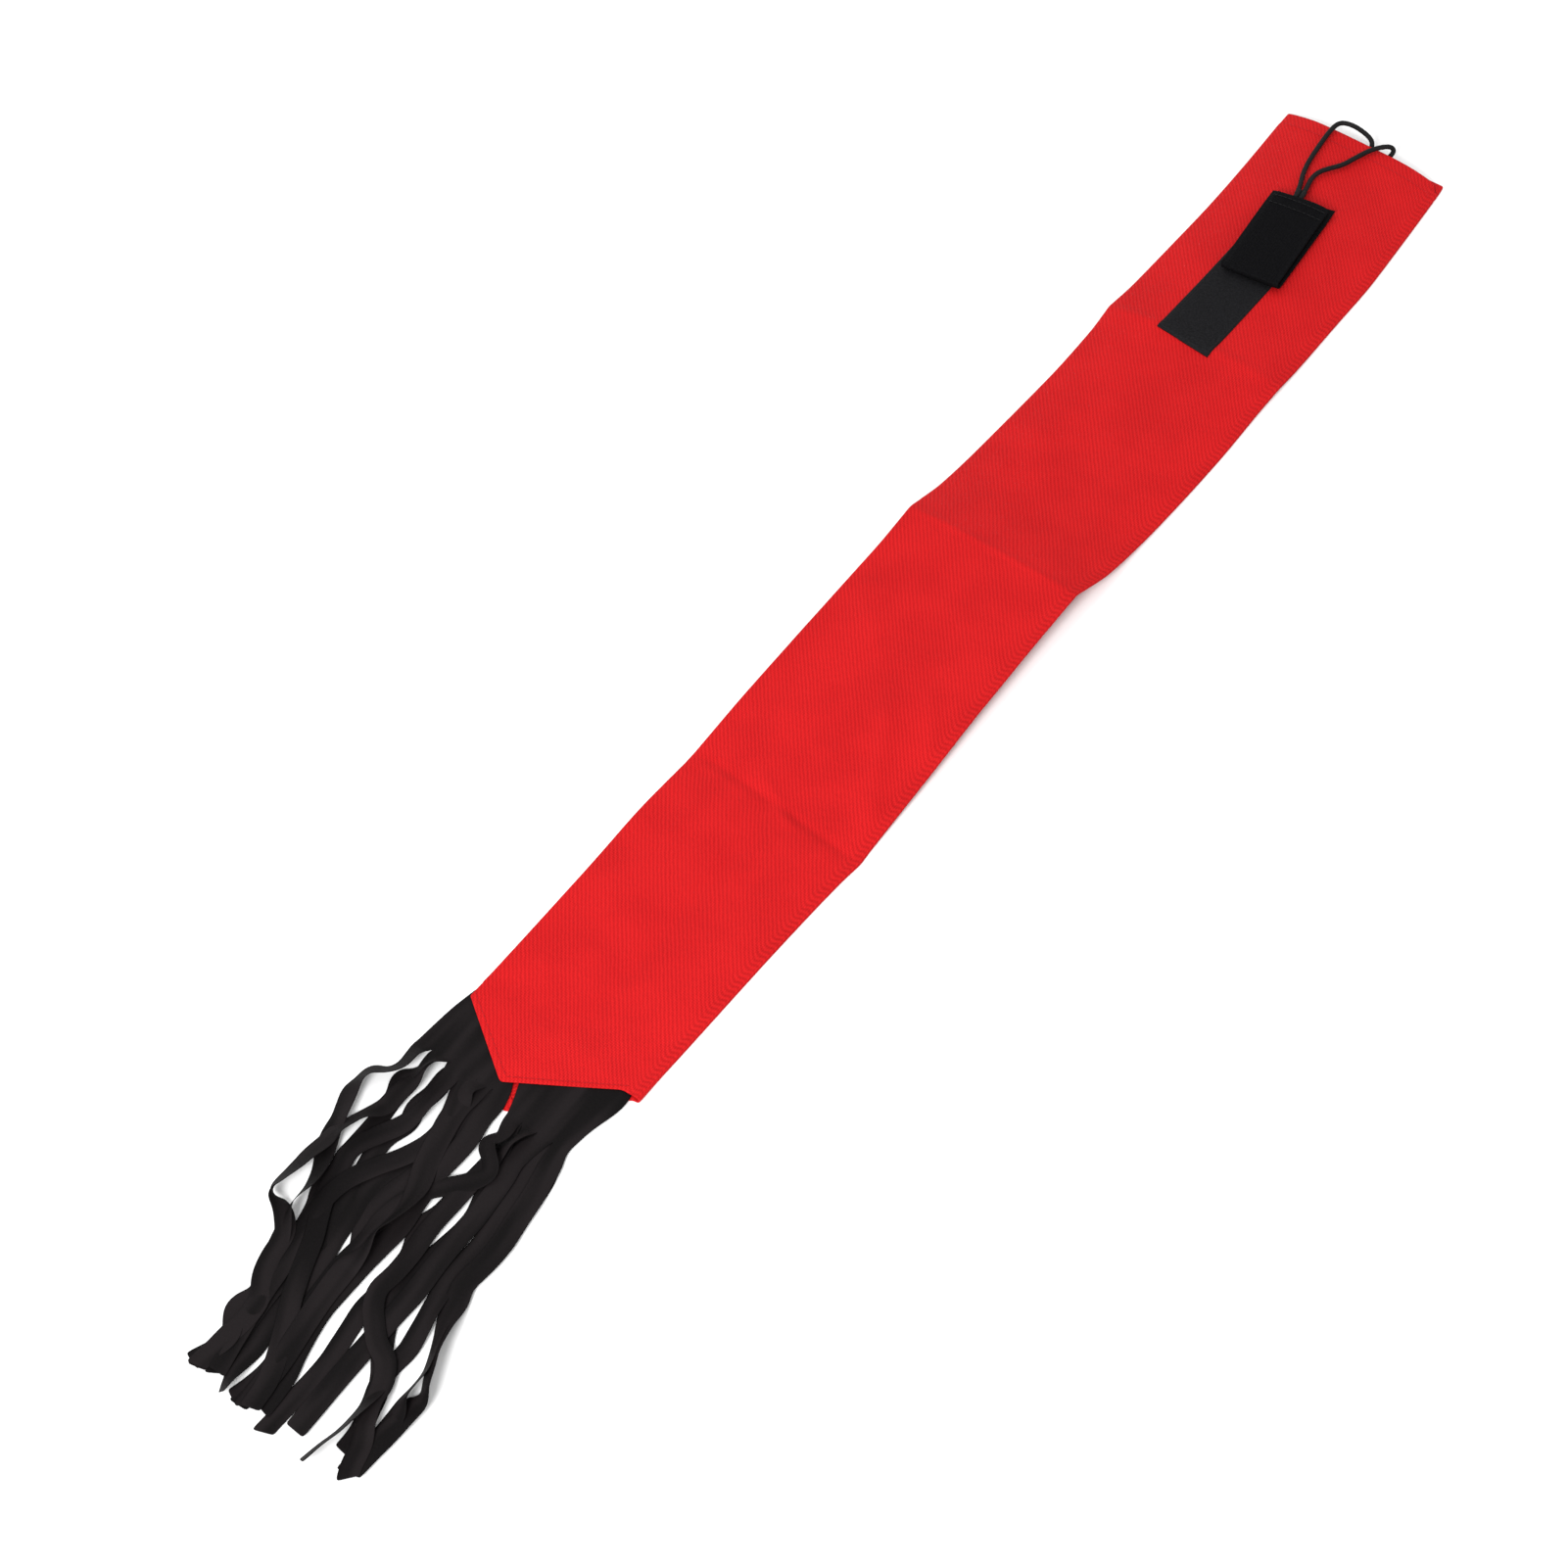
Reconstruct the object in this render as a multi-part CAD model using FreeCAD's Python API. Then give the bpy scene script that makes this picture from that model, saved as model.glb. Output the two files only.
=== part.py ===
"""Tail bag: a flat fabric sleeve with a pointed, fringed end and a corded hook-and-loop closure.

The bag lies on its back on a flat surface. All sizes are millimetres.
Bag coordinates: X across the width, Y along the length with the mouth at 0 and the fringe
negative, Z up from the surface. The last step moves everything to the part's own origin,
which is the centre of the underside of the whole bag.
"""

import FreeCAD
import Part

import math
import os

from FreeCAD import Vector

# ---- driving dimensions -----------------------------------------------------------------
CLOTH = 0.4  # thickness of the sleeve cloth
TAPE = 1.2  # thickness of the hook-and-loop tape
TAPE_WIDTH = 38.0
THREAD = 0.35  # how far a row of stitches stands proud
THREAD_WIDTH = 0.6
CORD = 3.0  # diameter of the elastic cord

# How the sleeve lies, station by station along its length:
# (y, left edge, right edge, rise of the cloth off the surface,
#  inner gap at the middle, inner gap at the two edges)
SLEEVE = [
    (1.0, -54.7, 57.8, 0.0, 7.0, 0.0),
    (-60.0, -52.1, 62.3, 0.0, 6.2, 0.0),
    (-100.0, -51.3, 64.8, 0.0, 6.2, 0.0),
    (-150.0, -52.2, 64.8, 0.0, 6.2, 0.0),
    (-201.0, -54.2, 64.8, 1.5, 6.2, 0.0),
    (-250.0, -52.0, 65.2, 0.1, 6.2, 0.0),
    (-346.0, -54.3, 63.9, 1.2, 5.8, 0.0),
    (-379.0, -53.4, 63.6, 7.0, 4.2, 0.0),
    (-406.0, -54.6, 60.2, 14.2, 2.6, 0.0),
    (-508.0, -54.8, 60.7, 8.6, 3.2, 0.0),
    (-570.0, -56.3, 62.0, 3.2, 3.2, 0.0),
    (-618.0, -56.0, 63.0, 0.0, 2.6, 0.0),
    (-660.0, -57.6, 60.2, 0.0, 2.6, 0.0),
    (-700.0, -56.3, 58.9, 0.0, 2.8, 0.0),
    (-770.0, -55.5, 57.8, 0.0, 1.8, 0.6),
    (-798.0, -55.3, 57.0, 0.0, 1.0, 1.0),
    (-842.0, -55.3, 57.0, 0.0, 1.0, 1.0),
]
SEWN_GAP = 0.02  # between a piece and the cloth that it is sewn on
CROWN_POWER = 4  # how flat the sleeve's swell is across its width

# The pointed end
POINT = (-8.0, -839.0)
CORNER_Y = -806.0  # where the two slanting seams start
CORNERS_X = (-57.0, 49.0)
SEAM_ALLOWANCE = 8.0  # how far the fringe's header reaches in between the cloths
TOPSTITCH_INSET = 4.0
TOPSTITCH_ENDS = (6.0, 3.0)  # how far a row stops short of the corner and of the point
HEM_DEPTH = 11.0
HEM_THREAD_INSET = 4.0
SIDE_THREAD_INSET = 7.0
SIDE_THREAD_Y = (-3.0, -765.0)

# Base strip (loop tape sewn to the front cloth)
STRIP_X = 0.5
STRIP_TOP_Y = -75.0
STRIP_END_Y = -205.0
STRIP_THREAD_INSET = 2.5

# Closure tab (hook tape folded in two, cord ends sewn between its layers)
TAB_MOUTH = (-1.4, -66.6)  # middle of the open end
TAB_LENGTH = 74.6
TAB_UPPER_SHORT = 2.8  # how far the upper layer stops short of the lower one at the open end
TAB_TURN = 5.6  # degrees, measured from the bag's length
TAB_BOTTOM_Z = 8.9
TAB_GAP = 3.2  # between the two layers

TAB_THREAD_ROWS = (-7.0, -14.0)
TAB_STITCH = 2.2
TAB_STITCH_PITCH = 3.2
TAB_STITCHES = 11

CORD_EXIT_Z = 11.7  # height at which the cord enters the tab
SEWN_END_X = (-7.3, -3.9)
SEWN_END_Y = -69.0
SEWN_END_RUN = Vector(1.0, -13.0, 0)

# The line across the fringe where it folds
FRINGE_FOLD_Y = -852.0
FOLD_CLEARANCE = 0.7  # on each side of the fold

# Fringe
FRINGE_CLOTH = 0.45
HEADER_BACK_Z = 0.45
HEADER_FRONT_Z = 0.95
STRIPS_BACK_Z = 0.0
STRIPS_FRONT_Z = 0.9
STRIP_WIDTH = 11.5
BAND = 5.0  # uncut cloth between the fold and the cuts
LEFT_BAND = (-61.0, 0.6)  # side edges of the left and the right fringe cloth at the fold
RIGHT_BAND = (6.4, 47.5)

# Cord centre lines, from the tab to the mouth and from the mouth to the anchor inside
OUTER_LEFT = [
    (-7.6, -65.8, 11.7),
    (-9.4, -58.0, 11.3),
    (-13.8, -49.5, 10.4),
    (-18.4, -36.5, 9.8),
    (-20.4, -19.0, 9.9),
    (-21.0, -3.5, 11.6),
    (-16.6, 4.2, 14.4),
    (-8.0, 7.0, 14.2),
    (0.6, 7.4, 11.4),
    (4.2, 6.2, 7.6),
]
INNER_LEFT = [
    (5.0, 4.2, 4.4),
    (6.4, -0.6, 3.5),
    (7.8, -7.6, 3.0),
    (8.2, -16.0, 2.5),
    (8.2, -24.0, 2.5),
]
OUTER_RIGHT = [
    (-4.2, -65.8, 11.7),
    (-4.8, -58.0, 11.2),
    (-7.0, -48.4, 10.2),
    (-7.0, -40.0, 9.8),
    (-3.6, -33.2, 9.8),
    (0.8, -27.0, 9.8),
    (4.4, -16.6, 9.9),
    (7.8, -6.4, 10.9),
    (12.6, 1.6, 12.9),
    (17.6, 5.6, 11.6),
    (19.4, 6.2, 7.8),
]
INNER_RIGHT = [
    (19.0, 4.2, 4.4),
    (18.2, -0.6, 3.5),
    (16.9, -7.6, 3.0),
    (16.2, -16.0, 2.5),
    (16.2, -24.0, 2.5),
]
ANCHOR_X = (3.0, 21.0)
ANCHOR_Y = (-36.0, -24.0)
ANCHOR_TOP_Z = 4.2
ANCHOR_ROUNDING = 0.9
BAR_TACK = 1.5
BAR_TACK_INSET = (4.0, 2.0)

# Fringe strips: centre lines from the fold to the cut ends
FRONT_LEFT_STRIPS = [
    [(-57, 0), (-64, -14), (-70, -25), (-70, -38), (-64, -54), (-57, -72), (-52, -92), (-49, -112),
     (-42, -132), (-37, -156), (-30, -201)],
    [(-47, 0), (-50, -22), (-56, -44), (-62, -64), (-64, -84), (-61, -102), (-49, -116), (-41, -134),
     (-34, -154), (-28, -176), (-28, -202)],
    [(-34, 0), (-35, -22), (-42, -44), (-44, -62), (-40, -82), (-34, -104), (-23, -126), (-11, -152),
     (1, -175), (8, -203)],
    [(-24, 0), (-17, -24), (-20, -44), (-31, -66), (-37, -88), (-35, -112), (-30, -140), (-25, -168),
     (-18, -199)],
    [(-15, 0), (-15, -20), (-10, -42), (-4, -64), (-3, -90), (-3, -118), (0, -148), (5, -178), (7, -204)],
    [(-5, 0), (-2, -30), (0, -60), (3, -86), (3, -116), (4, -146), (10, -172), (14, -201)],
]
FRONT_RIGHT_STRIPS = [
    [(12.5, 0), (14, -20), (17, -36), (16, -60), (16, -100), (18.5, -140), (24, -170), (28, -203)],
    [(21, 0), (17, -20), (17, -50), (18, -80), (19, -108), (26, -128), (41, -142), (54, -160),
     (63, -182), (73, -203)],
    [(31, 0), (29, -20), (33, -46), (34.5, -80), (34.5, -120), (34.5, -160), (35.5, -201)],
    [(41.5, 0), (48, -32), (52, -62), (53, -90), (59, -114), (67, -134), (74, -154), (74, -178), (72, -202)],
]
BACK_LEFT_STRIPS = [
    [(-50, 0), (-49, -24), (-45, -52), (-41, -76), (-41, -100), (-35, -130), (-30, -170), (-28, -203)],
    [(-34, 0), (-35, -24), (-34, -48), (-31, -76), (-25, -108), (-25, -140), (-22, -176), (-18, -199)],
    [(-21, 0), (-15, -32), (-15, -62), (-20, -96), (-16, -130), (-13, -166), (-9, -204)],
    [(-7, 0), (-5, -36), (-9, -78), (-4, -112), (-3, -146), (4, -178), (4, -205)],
]
BACK_RIGHT_STRIPS = [
    [(14, 0), (18, -28), (16, -54), (17, -88), (20, -120), (22, -150), (24, -207)],
    [(24, 0), (31, -40), (34, -68), (34, -118), (43, -144), (55, -168), (62, -196)],
    [(34, 0), (37, -36), (44, -68), (46, -104), (51, -136), (53, -168), (49, -208)],
    [(41.5, 0), (50, -38), (53, -72), (55, -104), (63, -130), (68, -156), (71, -199)],
]

# Where the origin lies in bag coordinates: under the middle of the whole bag
ORIGIN = Vector(2.06, -530.14, 0.0)


# ---- how the cloth lies -----------------------------------------------------------------
def station(y):
    """Left edge, right edge, rise, middle gap and edge gap of the sleeve at y."""
    if y >= SLEEVE[0][0]:
        return SLEEVE[0][1:]
    for near, far in zip(SLEEVE, SLEEVE[1:]):
        if near[0] >= y >= far[0]:
            share = (near[0] - y) / (near[0] - far[0])
            return tuple(a + share * (b - a) for a, b in zip(near[1:], far[1:]))
    return SLEEVE[-1][1:]


def back_under(x, y):
    """Height of the back cloth's underside."""
    return station(y)[2]


def back_inside(x, y):
    """Height of the back cloth's inner face."""
    return back_under(x, y) + CLOTH


def front_inside(x, y):
    """Height of the front cloth's inner face: a swell that dies out at both edges."""
    left, right, rise, middle_gap, edge_gap = station(y)
    across = min(1.0, abs(2 * x - left - right) / (right - left))
    swell = 1.0 - across**CROWN_POWER
    return rise + CLOTH + edge_gap + (middle_gap - edge_gap) * swell


def front_top(x, y):
    """Height of the front cloth's outer face."""
    return front_inside(x, y) + CLOTH


def raised(surface, height):
    """A surface that lies height above another."""
    return lambda x, y: surface(x, y) + height


# ---- solids ------------------------------------------------------------------------------
def across_curve(left, right, y, surface):
    """A smooth curve across the bag at y, on the surface, or a straight line where it is level."""
    steps = 10
    points = []
    for i in range(steps + 1):
        x = left + (right - left) * i / steps
        points.append(Vector(x, y, surface(x, y)))
    if max(point.z for point in points) - min(point.z for point in points) < 1e-6:
        return Part.makeLine(points[0], points[-1])
    curve = Part.BSplineCurve()
    curve.interpolate(points)
    return curve.toShape()


def layer(edges, low, high):
    """A solid sheet between two surfaces. edges lists (y, left x, right x) along its length."""
    sections = []
    for y, left, right in edges:
        under = across_curve(left, right, y, low)
        over = across_curve(left, right, y, high)
        right_side = Part.makeLine(under.Vertexes[-1].Point, over.Vertexes[-1].Point)
        left_side = Part.makeLine(over.Vertexes[0].Point, under.Vertexes[0].Point)
        sections.append(Part.Wire([under, right_side, over, left_side]))
    return Part.makeLoft(sections, True, True)


def cuts_between(first_y, last_y):
    """The stations at which a sheet from first_y to last_y needs a section."""
    inner = [row[0] for row in SLEEVE if first_y > row[0] > last_y]
    return [first_y] + inner + [last_y]


def slab(outline, bottom, thickness):
    """A flat sheet with the given plan outline."""
    points = [Vector(x, y, bottom) for x, y in outline]
    face = Part.Face(Part.makePolygon(points + points[:1]))
    return face.extrude(Vector(0, 0, thickness))


def ribbon(points, width, bottom, thickness):
    """A flat strip of cloth that follows a line."""
    left_side = []
    right_side = []
    for i, point in enumerate(points):
        before = points[max(i - 1, 0)]
        after = points[min(i + 1, len(points) - 1)]
        dx = after[0] - before[0]
        dy = after[1] - before[1]
        length = math.hypot(dx, dy)
        nx = -dy / length * width / 2
        ny = dx / length * width / 2
        left_side.append((point[0] + nx, point[1] + ny))
        right_side.append((point[0] - nx, point[1] - ny))
    return slab(left_side + right_side[::-1], bottom, thickness)


def cord_tube(name, points):
    """A round cord along straight runs joined by tangent arcs."""
    corners = [Vector(*p) for p in points]
    edges = []
    start = corners[0]
    radii = []
    for before, corner, after in zip(corners, corners[1:], corners[2:]):
        incoming = corner - before
        outgoing = after - corner
        turn = incoming.getAngle(outgoing)
        reach = 0.45 * min(incoming.Length, outgoing.Length)
        radii.append(reach / math.tan(turn / 2))
        incoming.normalize()
        outgoing.normalize()
        arc_start = corner - incoming * reach
        arc_end = corner + outgoing * reach
        to_middle = (outgoing - incoming).normalize()
        sagitta = reach / math.tan(turn / 2) * (1 / math.cos(turn / 2) - 1)
        edges.append(Part.LineSegment(start, arc_start).toShape())
        edges.append(Part.Arc(arc_start, corner + to_middle * sagitta, arc_end).toShape())
        start = arc_end
    edges.append(Part.LineSegment(start, corners[-1]).toShape())
    path = Part.Wire(edges)
    direction = corners[1] - corners[0]
    circle = Part.Wire(Part.makeCircle(CORD / 2, corners[0], direction))
    tube = path.makePipeShell([circle], True, False)
    expected = math.pi * CORD**2 / 4 * path.Length
    print(
        f"{name}: length {path.Length:.1f}, volume over section times length "
        f"{tube.Volume / expected:.3f}, smallest radius {min(radii):.1f}"
    )
    return tube


# ---- the sleeve --------------------------------------------------------------------------
def slanting_seam_y(x):
    """Where the two slanting seams run."""
    corner_x = CORNERS_X[0] if x < POINT[0] else CORNERS_X[1]
    return POINT[1] + (CORNER_Y - POINT[1]) * (x - POINT[0]) / (corner_x - POINT[0])


def pointed(sheet):
    """Cuts a sheet to the pointed end."""
    beside = 90.0
    outline = [
        (-beside, 20.0),
        (beside, 20.0),
        (beside, slanting_seam_y(beside)),
        POINT,
        (-beside, slanting_seam_y(-beside)),
    ]
    return sheet.common(slab(outline, -5.0, 40.0))


def sleeve_edges(first_y, last_y):
    """The sleeve's two side edges between two stations."""
    return [(y, *station(y)[:2]) for y in cuts_between(first_y, last_y)]


def front_cloth():
    return pointed(layer(sleeve_edges(1.0, -842.0), front_inside, front_top))


def back_cloth():
    return pointed(layer(sleeve_edges(0.0, -842.0), back_under, back_inside))


def side_seam_thread():
    """The row of stitches inside the sleeve along its left side."""
    edges = []
    for y in cuts_between(*SIDE_THREAD_Y):
        x = station(y)[0] + SIDE_THREAD_INSET
        edges.append((y, x, x + THREAD_WIDTH))
    return layer(edges, raised(back_inside, SEWN_GAP), raised(back_inside, THREAD))


def hem_thread(surface, y):
    """The row of stitches that holds a mouth hem, on the outside of the cloth."""
    left = station(y)[0] + HEM_THREAD_INSET
    right = station(y)[1] - HEM_THREAD_INSET
    edges = [(y, left, right), (y - THREAD_WIDTH, left, right)]
    return layer(edges, raised(surface, SEWN_GAP), raised(surface, THREAD))


def point_thread(corner_x):
    """The topstitching along one slanting seam, on the front cloth."""
    top = front_top(*POINT)
    start = Vector(corner_x, CORNER_Y + TOPSTITCH_INSET, 0)
    end = Vector(POINT[0], POINT[1] + TOPSTITCH_INSET, 0)
    along = (end - start).normalize()
    inner = start + along * TOPSTITCH_ENDS[0]
    outer = end - along * TOPSTITCH_ENDS[1]
    return ribbon([(inner.x, inner.y), (outer.x, outer.y)], THREAD_WIDTH, top, THREAD)


# ---- the closure -------------------------------------------------------------------------
def base_strip():
    left = STRIP_X - TAPE_WIDTH / 2
    right = STRIP_X + TAPE_WIDTH / 2
    edges = [(y, left, right) for y in cuts_between(STRIP_TOP_Y, STRIP_END_Y)]
    return layer(edges, raised(front_top, SEWN_GAP), raised(front_top, TAPE))


def base_strip_thread():
    """Four rows of stitches round the base strip."""
    top = raised(front_top, TAPE + SEWN_GAP)
    over = raised(front_top, TAPE + THREAD)
    inset = STRIP_THREAD_INSET
    left = STRIP_X - TAPE_WIDTH / 2 + inset
    right = STRIP_X + TAPE_WIDTH / 2 - inset
    rows = []
    for x in (left, right - THREAD_WIDTH):
        ys = cuts_between(STRIP_TOP_Y - inset, STRIP_END_Y + inset)
        rows.append(layer([(y, x, x + THREAD_WIDTH) for y in ys], top, over))
    for y in (STRIP_TOP_Y - inset, STRIP_END_Y + inset + THREAD_WIDTH):
        ends = [(y, left + 1.0, right - 1.0), (y - THREAD_WIDTH, left + 1.0, right - 1.0)]
        rows.append(layer(ends, top, over))
    return Part.Compound(rows)


def placed_on_tab(shape):
    """Moves a shape from the tab's own axes (open end at 0, tab along -Y) to its place."""
    shape.rotate(Vector(0, 0, 0), Vector(0, 0, 1), TAB_TURN)
    shape.translate(Vector(TAB_MOUTH[0], TAB_MOUTH[1], TAB_BOTTOM_Z))
    return shape


def tab_height():
    return 2 * TAPE + TAB_GAP


def closure_tab():
    """One length of tape folded in two: a U lying on its side, its fold away from the mouth."""
    height = tab_height()
    outer_radius = height / 2
    inner_radius = TAB_GAP / 2
    fold_y = -TAB_LENGTH + outer_radius
    side = -TAPE_WIDTH / 2
    middle_z = height / 2

    def at(y, z):
        return Vector(side, y, z)

    edges = [
        Part.makeLine(at(0, 0), at(fold_y, 0)),
        Part.Arc(at(fold_y, 0), at(fold_y - outer_radius, middle_z), at(fold_y, height)).toShape(),
        Part.makeLine(at(fold_y, height), at(-TAB_UPPER_SHORT, height)),
        Part.makeLine(at(-TAB_UPPER_SHORT, height), at(-TAB_UPPER_SHORT, height - TAPE)),
        Part.makeLine(at(-TAB_UPPER_SHORT, height - TAPE), at(fold_y, height - TAPE)),
        Part.Arc(
            at(fold_y, height - TAPE), at(fold_y - inner_radius, middle_z), at(fold_y, TAPE)
        ).toShape(),
        Part.makeLine(at(fold_y, TAPE), at(0, TAPE)),
        Part.makeLine(at(0, TAPE), at(0, 0)),
    ]
    profile = Part.Face(Part.Wire(edges))
    return placed_on_tab(profile.extrude(Vector(TAPE_WIDTH, 0, 0)))


def tab_thread():
    """Two rows of stitches across the tab that hold the cord's ends between its layers."""
    stitches = []
    for row_y in TAB_THREAD_ROWS:
        for i in range(TAB_STITCHES):
            x = (i - (TAB_STITCHES - 1) / 2) * TAB_STITCH_PITCH - TAB_STITCH / 2
            corner = Vector(x, row_y, tab_height())
            stitches.append(Part.makeBox(TAB_STITCH, THREAD_WIDTH, THREAD, corner))
    return placed_on_tab(Part.Compound(stitches))


def sewn_cord_ends():
    """The two ends of the cord, squeezed flat between the tab's layers."""
    ends = []
    for x in SEWN_END_X:
        start = Vector(x, SEWN_END_Y, CORD_EXIT_Z)
        circle = Part.Wire(Part.makeCircle(CORD / 2, start, SEWN_END_RUN))
        ends.append(Part.Face(circle).extrude(SEWN_END_RUN))
    return Part.Compound(ends)


def cord_anchor():
    """The folded tape inside the mouth that the other ends of the cord are sewn into."""
    size = (ANCHOR_X[1] - ANCHOR_X[0], ANCHOR_Y[1] - ANCHOR_Y[0], ANCHOR_TOP_Z - CLOTH)
    anchor = Part.makeBox(*size, Vector(ANCHOR_X[0], ANCHOR_Y[0], CLOTH))
    lengthwise = [edge for edge in anchor.Edges if abs(edge.tangentAt(0).x) > 0.9]
    upper = [edge for edge in lengthwise if edge.CenterOfMass.z > ANCHOR_TOP_Z / 2]
    return anchor.makeFillet(ANCHOR_ROUNDING, upper)


def anchor_bar_tacks():
    """Two short bars of dense stitching across the anchor tape."""
    inset_x, inset_y = BAR_TACK_INSET
    length = ANCHOR_Y[1] - ANCHOR_Y[0] - 2 * inset_y
    bars = []
    for x in (ANCHOR_X[0] + inset_x, ANCHOR_X[1] - inset_x - BAR_TACK):
        bars.append(Part.makeBox(BAR_TACK, length, THREAD, Vector(x, ANCHOR_Y[0] + inset_y, ANCHOR_TOP_Z)))
    return Part.Compound(bars)


# ---- the fringe --------------------------------------------------------------------------
def header(side, bottom):
    """The uncut band of one fringe cloth, from inside the seam to the fold."""
    fold_y = FRINGE_FOLD_Y + FOLD_CLEARANCE
    half_slit = 0.4
    if side == "left":
        outline = [
            (-55.0, CORNER_Y + SEAM_ALLOWANCE),
            (POINT[0] - half_slit, POINT[1] + SEAM_ALLOWANCE),
            (LEFT_BAND[1], fold_y),
            (LEFT_BAND[0], fold_y),
            (-60.5, -838.0),
            (-56.5, CORNER_Y - 3.0),
        ]
    else:
        outline = [
            (POINT[0] + half_slit, POINT[1] + SEAM_ALLOWANCE),
            (50.0, CORNER_Y + SEAM_ALLOWANCE),
            (54.0, CORNER_Y - 4.0),
            (47.0, -838.0),
            (RIGHT_BAND[1], fold_y),
            (RIGHT_BAND[0], fold_y),
        ]
    return slab(outline, bottom, CLOTH)


def strips(lines, bottom, left, right):
    """One comb of cut strips, joined by the narrow uncut band next to the fold."""
    top_y = FRINGE_FOLD_Y - FOLD_CLEARANCE
    band = [(left, top_y), (right, top_y), (right, top_y - BAND), (left, top_y - BAND)]
    comb = slab(band, bottom, FRINGE_CLOTH)
    for line in lines:
        points = [(x, top_y + y) for x, y in line]
        comb = comb.fuse(ribbon(points, STRIP_WIDTH, bottom, FRINGE_CLOTH))
    beyond_fold = slab([(-90, top_y), (90, top_y), (90, -1100), (-90, -1100)], -1.0, 4.0)
    return comb.common(beyond_fold).removeSplitter()


# ---- every node --------------------------------------------------------------------------
def nodes():
    return {
        "front_cloth": front_cloth(),
        "back_cloth": back_cloth(),
        "side_seam_thread": side_seam_thread(),
        "front_hem_thread": hem_thread(front_top, -HEM_DEPTH),
        "left_point_topstitching": point_thread(CORNERS_X[0]),
        "right_point_topstitching": point_thread(CORNERS_X[1]),
        "loop_base_strip": base_strip(),
        "base_strip_thread": base_strip_thread(),
        "fringe_header_front_left": header("left", HEADER_FRONT_Z),
        "fringe_header_front_right": header("right", HEADER_FRONT_Z),
        "fringe_header_back_left": header("left", HEADER_BACK_Z),
        "fringe_header_back_right": header("right", HEADER_BACK_Z),
        "cord_anchor_tape": cord_anchor(),
        "anchor_bar_tacks": anchor_bar_tacks(),
        "cord_inner_left": cord_tube("cord_inner_left", INNER_LEFT),
        "cord_inner_right": cord_tube("cord_inner_right", INNER_RIGHT),
        "cord_outer_left": cord_tube("cord_outer_left", OUTER_LEFT),
        "cord_outer_right": cord_tube("cord_outer_right", OUTER_RIGHT),
        "hook_closure_tab": closure_tab(),
        "tab_thread": tab_thread(),
        "sewn_cord_ends": sewn_cord_ends(),
        "fringe_strips_front_left": strips(FRONT_LEFT_STRIPS, STRIPS_FRONT_Z, *LEFT_BAND),
        "fringe_strips_front_right": strips(FRONT_RIGHT_STRIPS, STRIPS_FRONT_Z, *RIGHT_BAND),
        "fringe_strips_back_left": strips(BACK_LEFT_STRIPS, STRIPS_BACK_Z, *LEFT_BAND),
        "fringe_strips_back_right": strips(BACK_RIGHT_STRIPS, STRIPS_BACK_Z, *RIGHT_BAND),
    }


def main():
    os.makedirs("parts", exist_ok=True)
    whole = FreeCAD.BoundBox()
    for name, shape in nodes().items():
        shape.translate(-ORIGIN)
        shape.exportStep(f"parts/{name}.step")
        box = shape.BoundBox
        print(
            f"{name}: solids {len(shape.Solids)}, valid {shape.isValid()}, volume {shape.Volume:.0f}, "
            f"x {box.XMin:.1f} {box.XMax:.1f}, y {box.YMin:.1f} {box.YMax:.1f}, "
            f"z {box.ZMin:.2f} {box.ZMax:.2f}"
        )
        if not name.startswith("cord_outer") and not name.startswith("cord_inner"):
            whole.add(box)
    print(f"whole without the cord: centre {whole.Center}, lengths {whole.XLength:.1f} "
          f"{whole.YLength:.1f} {whole.ZLength:.1f}")


main()
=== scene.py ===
"""Looks of the tail bag: a red woven sleeve, its black cut fringe and its corded hook-and-loop closure.

Shapes are worked out in bag coordinates, in millimetres: X across, Y along with the mouth at 0 and
the fringe negative, Z up from the surface. place() turns them into the frame's metres.
"""

import math
import random

import bmesh
import bpy
import numpy as np
from mathutils import Matrix, Vector, noise


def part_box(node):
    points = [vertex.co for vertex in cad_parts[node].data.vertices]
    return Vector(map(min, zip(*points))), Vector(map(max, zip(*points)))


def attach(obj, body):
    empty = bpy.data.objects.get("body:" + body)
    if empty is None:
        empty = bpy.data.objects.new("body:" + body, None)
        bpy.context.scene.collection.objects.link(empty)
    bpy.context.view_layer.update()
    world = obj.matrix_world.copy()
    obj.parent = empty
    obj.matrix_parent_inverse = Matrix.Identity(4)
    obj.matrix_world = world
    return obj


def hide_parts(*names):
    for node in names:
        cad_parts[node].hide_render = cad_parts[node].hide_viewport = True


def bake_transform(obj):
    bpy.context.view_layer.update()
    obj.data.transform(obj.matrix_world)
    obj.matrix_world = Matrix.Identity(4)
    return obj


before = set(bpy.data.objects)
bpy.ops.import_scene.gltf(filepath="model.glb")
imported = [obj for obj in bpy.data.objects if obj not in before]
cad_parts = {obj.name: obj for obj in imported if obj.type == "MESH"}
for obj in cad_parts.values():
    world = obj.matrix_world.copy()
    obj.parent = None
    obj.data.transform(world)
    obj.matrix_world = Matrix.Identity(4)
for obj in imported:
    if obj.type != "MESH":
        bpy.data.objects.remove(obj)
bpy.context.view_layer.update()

MM = 0.001

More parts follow.
